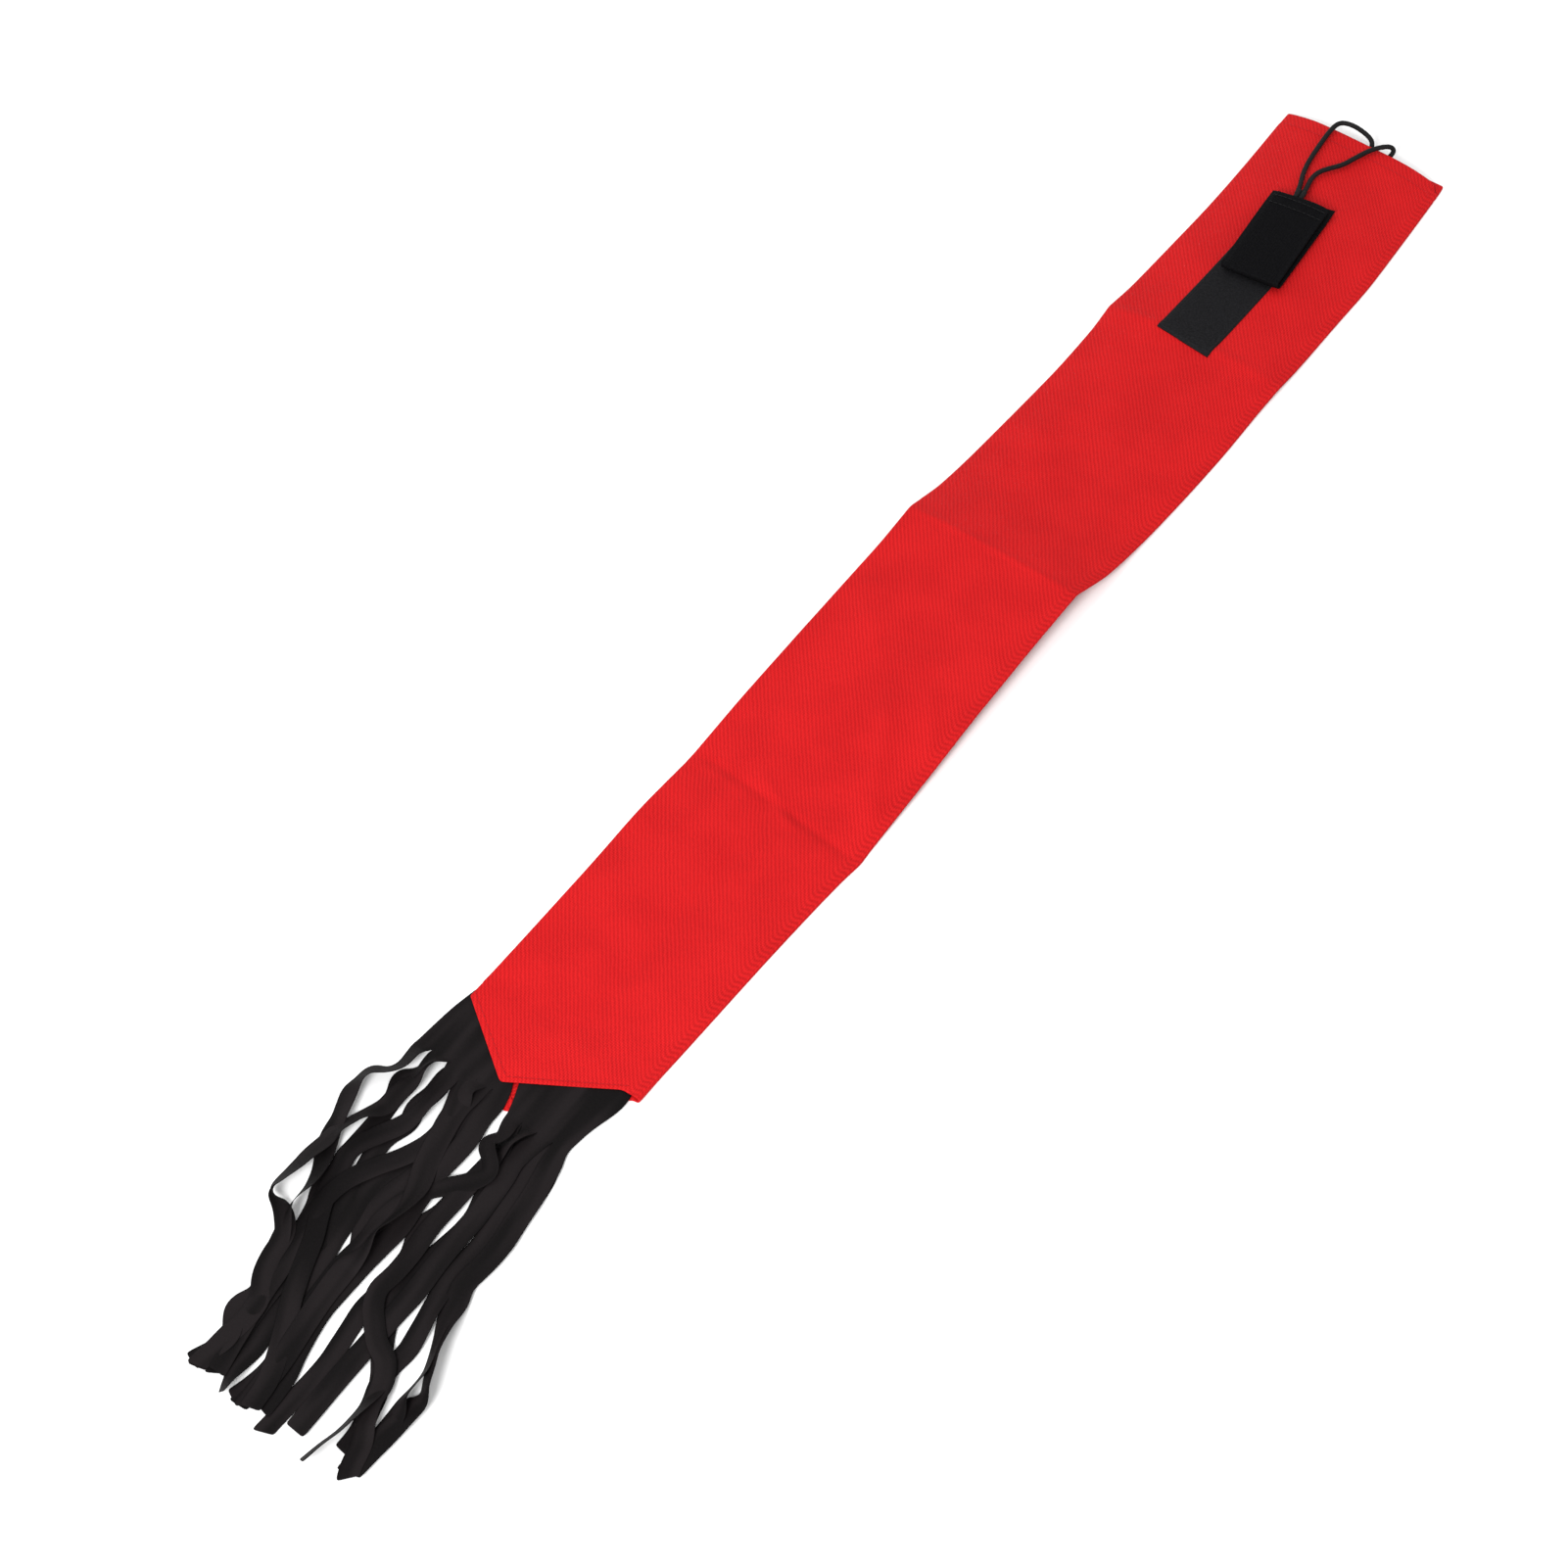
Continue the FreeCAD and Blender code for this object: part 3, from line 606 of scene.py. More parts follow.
def cord_cover():
    """The braided cover of the elastic cord."""
    cloth = Cloth("black_cord_cover", 0.6, specular=0.12)
    grain = cloth.noise(cloth.object_millimetres(), 2.2, 4.0, 0.65)
    colour = cloth.mix(cloth.ramp(grain, 0.25, 0.75), linear(6, 6, 7), linear(30, 29, 30))
    return cloth.finish(colour, cloth.bump(grain, 0.12))


def webbing():
    """Woven tape over the cord's ends: ribs along it, crossed by strands. Its colour follows their height,
    so the hollows between them hold painted shade.
    """
    cloth = Cloth("black_anchor_webbing", 0.6, specular=0.12)
    across, along, _ = cloth.split(cloth.object_millimetres())
    ribs = cloth.math("ABSOLUTE", cloth.math("SINE", cloth.math("MULTIPLY", along, math.pi / 0.9)))
    strands = cloth.math("ABSOLUTE", cloth.math("SINE", cloth.math("MULTIPLY", across, math.pi / 0.6)))
    height = cloth.math("MULTIPLY", ribs, strands)
    # Painted shade: the colour is darker in the hollows between ribs and strands
    colour = cloth.mix(height, linear(10, 10, 11), linear(46, 45, 48))
    return cloth.finish(colour, cloth.bump(height, 0.15))


# ---- camera, light and floor ---------------------------------------------------------------
def camera():
    """The viewpoint: from the fringe end, to the right, about 1.7 m above the floor."""
    azimuth = math.radians(40.16)
    elevation = math.radians(53.62)
    roll = math.radians(4.28)
    distance = 2.1053
    target = Vector(spot(-3.27, -598.06, 0.0))
    back = Vector((
        math.sin(azimuth) * math.cos(elevation),
        -math.cos(azimuth) * math.cos(elevation),
        math.sin(elevation),
    ))
    right = Vector((math.cos(azimuth), math.sin(azimuth), 0.0))
    up = back.cross(right)
    rolled_right = right * math.cos(roll) - up * math.sin(roll)
    rolled_up = right * math.sin(roll) + up * math.cos(roll)
    data = bpy.data.cameras.new("camera")
    data.sensor_width = 36.0
    data.lens = 87.7
    data.clip_end = 20.0
    obj = bpy.data.objects.new("camera", data)
    matrix = Matrix((rolled_right, rolled_up, back)).transposed().to_4x4()
    matrix.translation = target + back * distance
    obj.matrix_world = matrix
    bpy.context.scene.collection.objects.link(obj)
    bpy.context.scene.camera = obj


def area_light(name, position, aim, size, power):
    data = bpy.data.lights.new(name, "AREA")
    data.shape = "DISK"
    data.size = size
    data.energy = power
    obj = bpy.data.objects.new(name, data)
    obj.location = position
    obj.rotation_euler = (Vector(aim) - Vector(position)).to_track_quat("-Z", "Y").to_euler()
    bpy.context.scene.collection.objects.link(obj)


def studio():
    """Soft white light all round, a wide key light from the fringe end, and a pale floor."""
    scene = bpy.context.scene
    scene.view_settings.view_transform = "Standard"
    world = bpy.data.worlds.new("studio")
    world.use_nodes = True
    world.node_tree.nodes["Background"].inputs["Color"].default_value = (1.0, 1.0, 1.0, 1.0)
    world.node_tree.nodes["Background"].inputs["Strength"].default_value = 0.95
    scene.world = world
    area_light("key", (0.4, -1.9, 1.5), (0.0, -0.1, 0.0), 0.8, 48.0)
    area_light("fill", (-1.2, 0.8, 2.0), (0.0, 0.0, 0.0), 1.6, 8.0)

    floor_paint = Cloth("pale_floor", 0.8, specular=0.2)
    grain = floor_paint.noise(floor_paint.object_place(), 9.0, 3.0)
    colour = floor_paint.mix(grain, (0.93, 0.93, 0.93, 1.0), (0.96, 0.96, 0.96, 1.0))
    material = floor_paint.finish(colour, floor_paint.bump(grain, 0.05))
    reach = 6.0 / MM
    corners = [(x * reach, y * reach, -0.05) for x, y in ((-1, -1), (1, -1), (1, 1), (-1, 1))]
    floor = make_mesh("floor", corners, [(0, 1, 2, 3)], material)


# ---- cords -----------------------------------------------------------------------------------
def route_line(name, route):
    """The smooth line of a cord: a NURBS spline with the route's points as its control points."""
    curve = bpy.data.curves.new(name + "_line", "CURVE")
    curve.dimensions = "3D"
    curve.resolution_u = 24
    spline = curve.splines.new("NURBS")
    spline.points.add(len(route) - 1)
    for point, position in zip(spline.points, place(route)):
        point.co = (*position, 1.0)
    spline.order_u = 3
    spline.use_endpoint_u = True
    obj = bpy.data.objects.new(name + "_line", curve)
    mesh = bpy.data.meshes.new_from_object(obj)
    line = np.array([vertex.co for vertex in mesh.vertices])
    bpy.data.objects.remove(obj)
    return line


def evenly(line, spacing):
    """A line's points at equal steps."""
    travelled = lengths_along(line)
    steps = int(round(travelled[-1] / spacing))
    wanted = np.linspace(0.0, travelled[-1], steps + 1)
    return np.stack([np.interp(wanted, travelled, line[:, k]) for k in range(3)], axis=1), travelled[-1]


def braided(radius, strands=8, lay=6.5):
    """The surface of a braided cover: strands that cross over and under each other."""
    def at(travelled, angle):
        swing = 2 * math.pi * travelled / lay
        one_way = abs(math.sin(strands / 4 * angle + swing))
        other_way = abs(math.sin(strands / 4 * angle - swing))
        return radius * (0.90 + 0.10 * max(one_way, other_way))
    return at


def elastic_cord(side, route, material):
    """One run of the cord, with its path and its length in metres."""
    name = f"elastic_cord_{side}"
    path, length = evenly(route_line(name, route), 0.4 * MM)
    millimetres = (path - BAG_ORIGIN) / MM
    points, faces = tube(millimetres, braided(CORD / 2 + 0.05), 24)
    cord = make_mesh(name, points, faces, material)
    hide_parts(f"cord_outer_{side}", f"cord_inner_{side}")
    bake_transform(cord)
    return cord, path, length


def sewn_cord_ends(material):
    """The ends of both cords, pressed flat where they are sewn between the tab's layers."""
    def flattened(travelled, angle):
        squeeze = min(1.0, travelled / 8.0)
        wide = 1.53 + 0.25 * squeeze
        high = 1.53 - 0.3 * squeeze
        return wide * high / math.hypot(high * math.cos(angle), wide * math.sin(angle))

    pieces = []
    for x in (CORD_LEFT[0][0], CORD_RIGHT[0][0]):
        line = [(x + 0.1 * k, -61.8 - 1.2 * k, 11.7) for k in range(18)]
        pieces.append(tube(line, flattened, 16))
    points, faces = join_pieces(pieces)
    ends = make_mesh("sewn_cord_ends_shaped", points, faces, material)
    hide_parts("sewn_cord_ends")
    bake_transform(ends)
    return ends


# ---- how the sleeve lies -----------------------------------------------------------------------
def station(y):
    """Left edge, right edge, rise, middle gap and edge gap at each y, with the creases kept crisp."""
    y = np.asarray(y, float)
    rows = np.array(SLEEVE)[::-1].T
    nearest = np.min([np.abs(y - crease) for crease in CREASES], axis=0)
    reach = np.clip(1.5 + 0.35 * nearest, 1.5, 16.0)
    taps = ((-1.0, 0.1), (-0.5, 0.23), (0.0, 0.34), (0.5, 0.23), (1.0, 0.1))
    return [
        sum(weight * np.interp(y + offset * reach, rows[0], column) for offset, weight in taps)
        for column in rows[1:]
    ]


def ridge(x, y, start, end, height, width):
    """A soft fold in the cloth along a line, dying out at its ends."""
    start = np.array(start, float)
    end = np.array(end, float)
    along = end - start
    length = np.linalg.norm(along)
    along /= length
    dx = x - start[0]
    dy = y - start[1]
    share = (dx * along[0] + dy * along[1]) / length
    off = dx * along[1] - dy * along[0]
    fade = smoothstep(share, -0.15, 0.25) * (1.0 - smoothstep(share, 0.75, 1.15))
    return height * fade * np.exp(-((off / width) ** 2))


def unevenness(x, y, scale, seed):
    """Gentle random waves, the same on each run."""
    flat = np.stack(np.broadcast_arrays(x, y), axis=-1).reshape(-1, 2)
    values = [noise.noise(Vector((px / scale, py / scale, seed))) for px, py in flat]
    return np.array(values).reshape(np.broadcast(x, y).shape)


def front_relief(x, y, left_edge, right_edge):
    """Folds, creases and puckers of the front cloth."""
    relief = 0.45 * unevenness(x, y, 46.0, 3.0) + 0.14 * unevenness(x, y, 15.0, 8.0)
    for start, end, height, width in FOLDS:
        relief += ridge(x, y, start, end, height, width)
    # Puckers along the left seam, about 7 mm long, which die out a few millimetres from it
    from_left = x - left_edge
    wave = np.sin(2 * math.pi * y / 7.3 + 1.7 * np.sin(y / 23.0))
    strength = 0.10 + 0.12 * (0.5 + 0.5 * np.sin(y / 61.0)) + 0.2 * np.exp(-(((y + 118) / 30) ** 2))
    strength += 0.35 * np.clip(np.sin(y / 7.2 + 1.3 * np.sin(y / 31.0)), 0.0, 1.0) ** 8
    relief += strength * wave * np.exp(-from_left / 6.0)
    edge_fade = np.clip(np.minimum(from_left, right_edge - x) / 10.0, 0.25, 1.0)
    return relief * edge_fade


def front_height(x, y):
    """Middle of the front cloth above the surface."""
    left_edge, right_edge, rise, middle_gap, edge_gap = station(y)
    across = np.clip(np.abs(2.0 * x - left_edge - right_edge) / (right_edge - left_edge), 0.0, 1.0)
    gap = edge_gap + (middle_gap - edge_gap) * (1.0 - across**CROWN_POWER)
    height = rise + 1.5 * CLOTH + gap
    # The seam, the fold and the seam allowance at the point hold the cloth up
    height += 0.95 * np.exp(-(((x - left_edge) / 7.0) ** 2))
    height += 0.7 * np.exp(-(((right_edge - x) / 6.0) ** 2))
    height += 0.85 * smoothstep(-y, 785.0, 806.0)
    return height + front_relief(x, y, left_edge, right_edge)


def back_height(x, y):
    """Middle of the back cloth above the surface."""
    rise = station(y)[2]
    lift = 0.25 * (1.0 + unevenness(x, y, 38.0, 21.0)) * smoothstep(rise, 0.2, 2.0)
    return rise + CLOTH / 2 + lift


def front_point(x):
    """Where the front cloth ends at x."""
    left, right = FRONT_CORNERS
    return np.interp(x, [left, POINT[0], right], [CORNER_Y, POINT[1], CORNER_Y])


def back_point(x):
    """Where the back cloth ends at x."""
    return np.interp(x, [-57.0, BACK_POINT[0], 57.0], [CORNER_Y - 2.0, BACK_POINT[1], CORNER_Y - 1.0])


def front_mouth(x):
    """The lip of the mouth: nearly straight, with its right corner rounded."""
    return -1.6 - 0.03 * x - 8.0 * smoothstep(x, 52.0, 59.5) ** 2


# ---- the sleeve -------------------------------------------------------------------------------
SLEEVE_MIDDLE_X = 2.0
PANEL_COLUMNS = 61
FOLD_COLUMNS = 5
ALLOWANCE_COLUMNS = 5
LAST_STRAIGHT_Y = -772.0


def sleeve_rows():
    """Rows of the sleeve from inside the mouth hem to inside the point: (kind, y or share, inward)."""
    rows = [("mouth", -HEM_DEPTH, 1.0), ("mouth", -7.5, 1.0), ("mouth", -4.0, 1.0), ("mouth", -1.2, 1.0)]
    rows += [("mouth", -0.25, 0.9), ("mouth", 0.0, 0.5), ("mouth", -0.25, 0.1)]
    rows += [("mouth", -1.2, 0.0), ("mouth", -4.0, 0.0)]
    y = -7.0
    while y > LAST_STRAIGHT_Y:
        rows.append(("along", y, 0.0))
        crease = min(abs(y - line) for line in CREASES)
        y -= 1.6 if crease < 10.0 else 3.2
    steps = 12
    for i in range(steps):
        rows.append(("point", (i + 1) / (steps + 1), 0.0))
    rows += [("end", 1.2, 0.0), ("end", 0.25, 0.1), ("end", 0.0, 0.5), ("end", 0.25, 0.9)]
    rows += [("end", 1.2, 1.0), ("end", 4.5, 1.0), ("end", SEAM_ALLOWANCE, 1.0)]
    return rows


def sleeve_columns():
    """Columns of the sleeve round its girth: (part, place within that part from 0 to 1)."""
    columns = [("allowance_back", i / ALLOWANCE_COLUMNS) for i in range(ALLOWANCE_COLUMNS)]
    columns += [("seam_back", 0.5)]
    columns += [("back", i / (PANEL_COLUMNS - 1)) for i in range(PANEL_COLUMNS)]
    columns += [("fold", (i + 1) / (FOLD_COLUMNS + 1)) for i in range(FOLD_COLUMNS)]
    columns += [("front", 1.0 - i / (PANEL_COLUMNS - 1)) for i in range(PANEL_COLUMNS)]
    columns += [("seam_front", 0.5)]
    columns += [("allowance_front", 1.0 - i / ALLOWANCE_COLUMNS) for i in range(ALLOWANCE_COLUMNS)]
    return columns


def row_y(kind, value, x, front):
    """The y of a row at x, on the front or the back cloth."""
    mouth = front_mouth(x) if front else np.zeros_like(x)
    point = front_point(x) if front else back_point(x)
    if kind == "mouth":
        return mouth + value
    if kind == "along":
        return np.full_like(x, value)
    if kind == "point":
        return LAST_STRAIGHT_Y + (point - LAST_STRAIGHT_Y) * value
    return point + value


def sleeve(material):
    """The sleeve: one cloth, folded on the right, seamed on the left and hemmed at its mouth and point."""
    rows = sleeve_rows()
    columns = sleeve_columns()
    share = np.array([c[1] for c in columns])
    part = np.array([c[0] for c in columns])
    is_front = np.isin(part, ("front", "seam_front", "allowance_front"))
    shape = (len(rows), len(columns))
    is_seam = np.isin(part, ("seam_back", "seam_front"))
    is_allowance = np.isin(part, ("allowance_back", "allowance_front"))
    fold = part == "fold"
    panel = np.where(is_seam | is_allowance, -1.0, np.where(fold, 1.0, share * 2 - 1))
    y = np.zeros(shape)
    inward = np.zeros(shape)
    rough_x = SLEEVE_MIDDLE_X + 57.5 * panel
    for r, (kind, value, inside) in enumerate(rows):
        front_y = row_y(kind, value, rough_x, True)
        back_y = row_y(kind, value, rough_x, False)
        y[r] = np.where(is_front, front_y, back_y)
        y[r][fold] = back_y[fold] + (front_y[fold] - back_y[fold]) * share[fold]
        inward[r] = inside * LAYER
    left_edge, right_edge = station(y)[:2]
    x = (left_edge + right_edge) / 2 + ((right_edge - left_edge) / 2 - inward) * panel
    front_z = front_height(x, y)
    back_z = back_height(x, y)
    z = np.where(is_front[None, :], front_z - inward, back_z + inward)

    # The fold on the right is half round
    radius = np.maximum((front_z - back_z)[:, fold] / 2 - inward[:, fold], 0.04)
    angle = math.pi * (share[fold] - 0.5)
    middle = (front_z + back_z)[:, fold] / 2
    z[:, fold] = middle + radius * np.sin(angle)
    x[:, fold] += radius * np.cos(angle) * 0.9

    # The seam on the left: the allowances of both cloths lie on the back cloth, one on the other
    for name, side in (("seam_back", 1.0), ("seam_front", -1.0)):
        here = part == name
        z[:, here] += side * LAYER / 2
        x[:, here] -= 0.2
    reach = np.where(is_allowance, 1.0 - share, 0.0)
    here = reach > 0
    x[:, here] = left_edge[:, here] + 0.3 + reach[here] * (SEAM_ALLOWANCE - 0.3)
    base = back_height(x, y)
    for name, layers in (("allowance_back", 1), ("allowance_front", 2)):
        z[:, part == name] = (base + layers * LAYER)[:, part == name]

    # Each point's place on the uncut cloth
    girth = np.zeros(shape)
    step = np.hypot(np.diff(x, axis=1), np.diff(z, axis=1))
    girth[:, 1:] = np.cumsum(step, axis=1)
    middle_column = int(np.argmax(fold))
    girth -= girth[:, middle_column : middle_column + 1]
    run = np.zeros(shape)
    run[1:] = np.cumsum(np.linalg.norm(np.stack([np.diff(y, axis=0), np.diff(z, axis=0)]), axis=0), axis=0)
    flat = np.stack([girth, run], axis=-1).reshape(-1, 2)

    hem_rows = [r for r, row in enumerate(rows) if row[0] == "mouth"]
    end_rows = [r for r, row in enumerate(rows) if row[0] == "end"]
    last_hem = max(hem_rows) + 2
    first_end = min(end_rows) - 4
    turned_in = is_seam | is_allowance

    def keep(r, c):
        """The side seam stops short of the mouth's hem and of the point."""
        if turned_in[c] or turned_in[c + 1]:
            return last_hem <= r < first_end
        return True

    points = np.stack([x, y, z], axis=-1).reshape(-1, 3)
    faces = grid_faces(shape[0], shape[1], keep=keep)
    cloth = make_mesh("red_sleeve", points, faces, material, flat)
    drop_loose(cloth)
    thicken(cloth, CLOTH)
    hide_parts("front_cloth", "back_cloth")
    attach(cloth, "root")


def drop_loose(obj):
    """Removes vertices that no face uses."""
    work = bmesh.new()
    work.from_mesh(obj.data)
    bmesh.ops.delete(work, geom=[v for v in work.verts if not v.link_faces], context="VERTS")
    work.to_mesh(obj.data)
    work.free()


# ---- stitches ---------------------------------------------------------------------------------
def stitch(start, end, lift, radius=0.19):
    """One stitch: a short thread whose ends dive into the cloth."""
    start = np.array(start, float)
    end = np.array(end, float)
    arch = (-0.35, 0.6, 0.95, 0.6, -0.35)
    stops = (0.0, 0.14, 0.5, 0.86, 1.0)
    line = [start + (end - start) * t + np.array([0.0, 0.0, h * lift]) for t, h in zip(stops, arch)]
    return tube(line, radius, 6)


def stitch_row(line, surface, length=2.5, gap=0.6, lift=0.22):
    """Stitches along a line in plan that lie on a surface."""
    line = np.asarray(line, float)
    travelled = lengths_along(line)
    pieces = []
    place_on_line = 0.0
    while place_on_line + length <= travelled[-1]:
        ends = []
        for s in (place_on_line, place_on_line + length):
            px = np.interp(s, travelled, line[:, 0])
            py = np.interp(s, travelled, line[:, 1])
            ends.append((px, py, float(surface(px, py))))
        pieces.append(stitch(ends[0], ends[1], lift))
        place_on_line += length + gap
    return pieces


def joined(name, pieces, material, slot, body, *nodes):
    """Many small pieces as one, which replaces the named CAD nodes, if any."""
    points, faces = join_pieces(pieces)
    obj = make_mesh(name, points, faces, material)
    if nodes:
        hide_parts(*nodes)
    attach(obj, body)


def front_surface(x, y):
    """The top of the front cloth at one point."""
    return front_height(np.array([float(x)]), np.array([float(y)]))[0] + CLOTH / 2


def sleeve_stitches(red):
    """The stitches of the mouth's hem and of the point, and the overlocked side seam inside the sleeve."""
    left_edge, right_edge = [float(v) for v in station(-HEM_DEPTH)[:2]]
    xs = np.linspace(left_edge + 3.0, right_edge - 2.0, 60)
    hem = [(x, float(front_mouth(x)) - HEM_DEPTH + 1.2) for x in xs]
    stitches = stitch_row(hem, front_surface, lift=0.12)
    joined("mouth_hem_stitches", stitches, red, "red_thread", "root", "front_hem_thread")
    for side, corner in (("left", FRONT_CORNERS[0] + 2.0), ("right", FRONT_CORNERS[1] - 1.0)):
        xs = np.linspace(corner, POINT[0], 30)
        line = [(x, float(front_point(x)) + TOPSTITCH_INSET) for x in xs]
        stitches = stitch_row(line, front_surface, lift=0.2)
        joined(f"{side}_point_stitches", stitches, red, "red_thread", "root", f"{side}_point_topstitching")
    ys = np.arange(-14.0, -790.0, -1.1)
    zigzag = []
    for i, y in enumerate(ys):
        left_edge = float(station(y)[0])
        x = left_edge + (3.4 if i % 2 else SEAM_ALLOWANCE + 0.4)
        z = float(back_height(np.array([x]), np.array([y]))[0]) + 2 * LAYER + 0.34
        zigzag.append((x, y, z))
    joined("side_seam_overlock", [tube(zigzag, 0.14, 5)], red, "red_thread", "root", "side_seam_thread")


# ---- the closure -----------------------------------------------------------------------------
def tape_profile(across):
    """Extra height of a tape at a place across it, from -1 to 1: thin selvedges, thicker middle."""
    return 0.28 * smoothstep(1.0 - np.abs(across), 0.08, 0.16)


def tape_mesh(name, outside, inside, flat, material):
    """A tape from the grids of its two faces, closed round its edge."""
    rows, columns = outside.shape[:2]
    count = rows * columns
    faces = grid_faces(rows, columns)
    faces += [face[::-1] for face in grid_faces(rows, columns, start=count)]
    edge = list(range(columns)) + [r * columns + columns - 1 for r in range(1, rows)]
    edge += [count - 1 - c for c in range(1, columns)] + [(rows - 1 - r) * columns for r in range(1, rows)]
    faces += [(b, a, a + count, b + count) for a, b in zip(edge, edge[1:])]
    points = np.vstack([outside.reshape(-1, 3), inside.reshape(-1, 3)])
    flat = flat.reshape(-1, 2)
    return make_mesh(name, points, faces, material, np.vstack([flat, flat]))


def strip_end(x):
    """Where the base strip ends at x."""
    return STRIP_END_Y - STRIP_END_SLANT * x


def loop_strip(tape, loops, black):
    """The base strip: woven tape whose middle is covered with tiny loops."""
    across = np.linspace(-1.0, 1.0, 39)
    share = np.linspace(0.0, 1.0, 129)
    x = STRIP_MIDDLE_X + across[None, :] * TAPE_WIDTH / 2 + 0.25 * np.sin(share * 5.0)[:, None]
    top = STRIP_TOP_Y - STRIP_TOP_SLANT * x
    y = top + (strip_end(x) - top) * share[:, None]
    base = front_height(x, y) + CLOTH / 2
    uneven = 0.05 * unevenness(x, y, 2.3, 4.0)
    outside = np.stack([x, y, base + STRIP_LIFT + tape_profile(across)[None, :] + uneven], axis=-1)
    inside = np.stack([x, y, base + 0.04], axis=-1)
    strip = tape_mesh("loop_strip_tape", outside, inside, np.stack([x, y], axis=-1), tape)
    strip.data.flip_normals()  # its rows run down the sleeve, so the grid's faces look down
    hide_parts("loop_base_strip")
    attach(strip, "root")

    pick = random.Random(11)
    roots = []
    px = STRIP_MIDDLE_X - PILE_HALF_WIDTH
    while px < STRIP_MIDDLE_X + PILE_HALF_WIDTH + 0.2:
        py = STRIP_TOP_Y - 2.2
        while py > strip_end(px) + 2.6:
            turn = pick.uniform(0.0, math.pi)
            reach = pick.uniform(0.42, 0.62)
            height = pick.uniform(0.35, 0.62)
            mx = px + pick.uniform(-0.4, 0.4)
            my = py + pick.uniform(-0.4, 0.4)
            roots.append((mx, my, turn, reach, height))
            py -= LOOP_PITCH
        px += LOOP_PITCH
    xs, ys = np.array(roots)[:, :2].T
    zs = front_height(xs, ys) + CLOTH / 2 + LOOP_ROOT_LIFT
    pile = []
    for (mx, my, turn, reach, height), z in zip(roots, zs):
        dx = reach * math.cos(turn)
        dy = reach * math.sin(turn)
        line = [
            (mx - 0.6 * dx, my - 0.6 * dy, z - 0.08),
            (mx - dx, my - dy, z + 0.55 * height),
            (mx, my, z + height),
            (mx + dx, my + dy, z + 0.55 * height),
            (mx + 0.6 * dx, my + 0.6 * dy, z - 0.08),
        ]
        pile.append(tube(line, 0.07, 3, ends=False))
    joined("loop_strip_pile", pile, loops, "loop_tape", "root")

    inset = 1.5
    left = STRIP_MIDDLE_X - TAPE_WIDTH / 2 + inset
    right = STRIP_MIDDLE_X + TAPE_WIDTH / 2 - inset
    top = STRIP_TOP_Y - inset - 0.5
    low_right = (right, strip_end(right) + inset)
    low_left = (left, strip_end(left) + inset)
    border = [(left, top), (right, top), low_right, low_left, (left, top)]

    def on_tape(x, y):
        return front_surface(x, y) + STRIP_LIFT + 0.02

    rows_of_stitches = []
    for a, b in zip(border, border[1:]):
        line = [(a[0] + (b[0] - a[0]) * t, a[1] + (b[1] - a[1]) * t) for t in np.linspace(0, 1, 12)]
        rows_of_stitches += stitch_row(line, on_tape, lift=0.2)
    joined("base_strip_stitches", rows_of_stitches, black, "black_thread", "root", "base_strip_thread")


def tab_place(points):
    """From the tab's own axes, with its open end at 0 and its length along -Y, to the bag."""
    points = np.asarray(points, float)
    c, s = math.cos(TAB_TURN), math.sin(TAB_TURN)
    x = points[..., 0] * c - points[..., 1] * s + TAB_MOUTH[0]
    y = points[..., 0] * s + points[..., 1] * c + TAB_MOUTH[1]
    return np.stack([x, y, points[..., 2] + TAB_BOTTOM_Z], axis=-1)


def tab_layers(across, run, offset=0.0):
    """A point of the folded tape: across from -1 to 1, run from the lower layer's open end."""
    lower = run <= TAB_STRAIGHT
    upper = run >= TAB_STRAIGHT + TAB_ARC
    angle = np.clip((run - TAB_STRAIGHT) / TAB_BEND, 0.0, math.pi)
    y_upper = run - 2 * TAB_STRAIGHT - TAB_ARC
    y = np.where(lower, -run, np.where(upper, y_upper, -TAB_STRAIGHT - TAB_BEND * np.sin(angle)))
    z = TAB_HEIGHT / 2 - TAB_BEND * np.cos(angle)
    from_mouth = -y / TAB_STRAIGHT
    # The two layers lie a little apart sideways, and more so at the open end
    drift = np.where(upper, -0.7, np.where(lower, 1.5, 1.5 - 2.2 * angle / math.pi))
    x = across * TAPE_WIDTH / 2 + drift * (1.1 - 0.6 * from_mouth)
    # The layers' edges close up, their middles bulge, and their corners meet at the open end
    sag = np.where(upper, -0.5, 0.35) * np.abs(across) ** 2.5
    lifted = np.where(upper, 0.35, 0.0) * np.sin(math.pi * np.clip(from_mouth, 0, 1)) * (1 - across**2)
    pinch = np.where(upper, -1.2, 0.9) * np.abs(across) ** 3 * (1 - smoothstep(from_mouth, 0.0, 0.3))
    z = z + sag + lifted + pinch
    side = np.where(lower, -1.0, np.where(upper, 1.0, -np.cos(angle)))
    push_y = np.where(lower | upper, 0.0, -np.sin(angle))
    return np.stack([x, y + push_y * offset, z + side * offset], axis=-1)


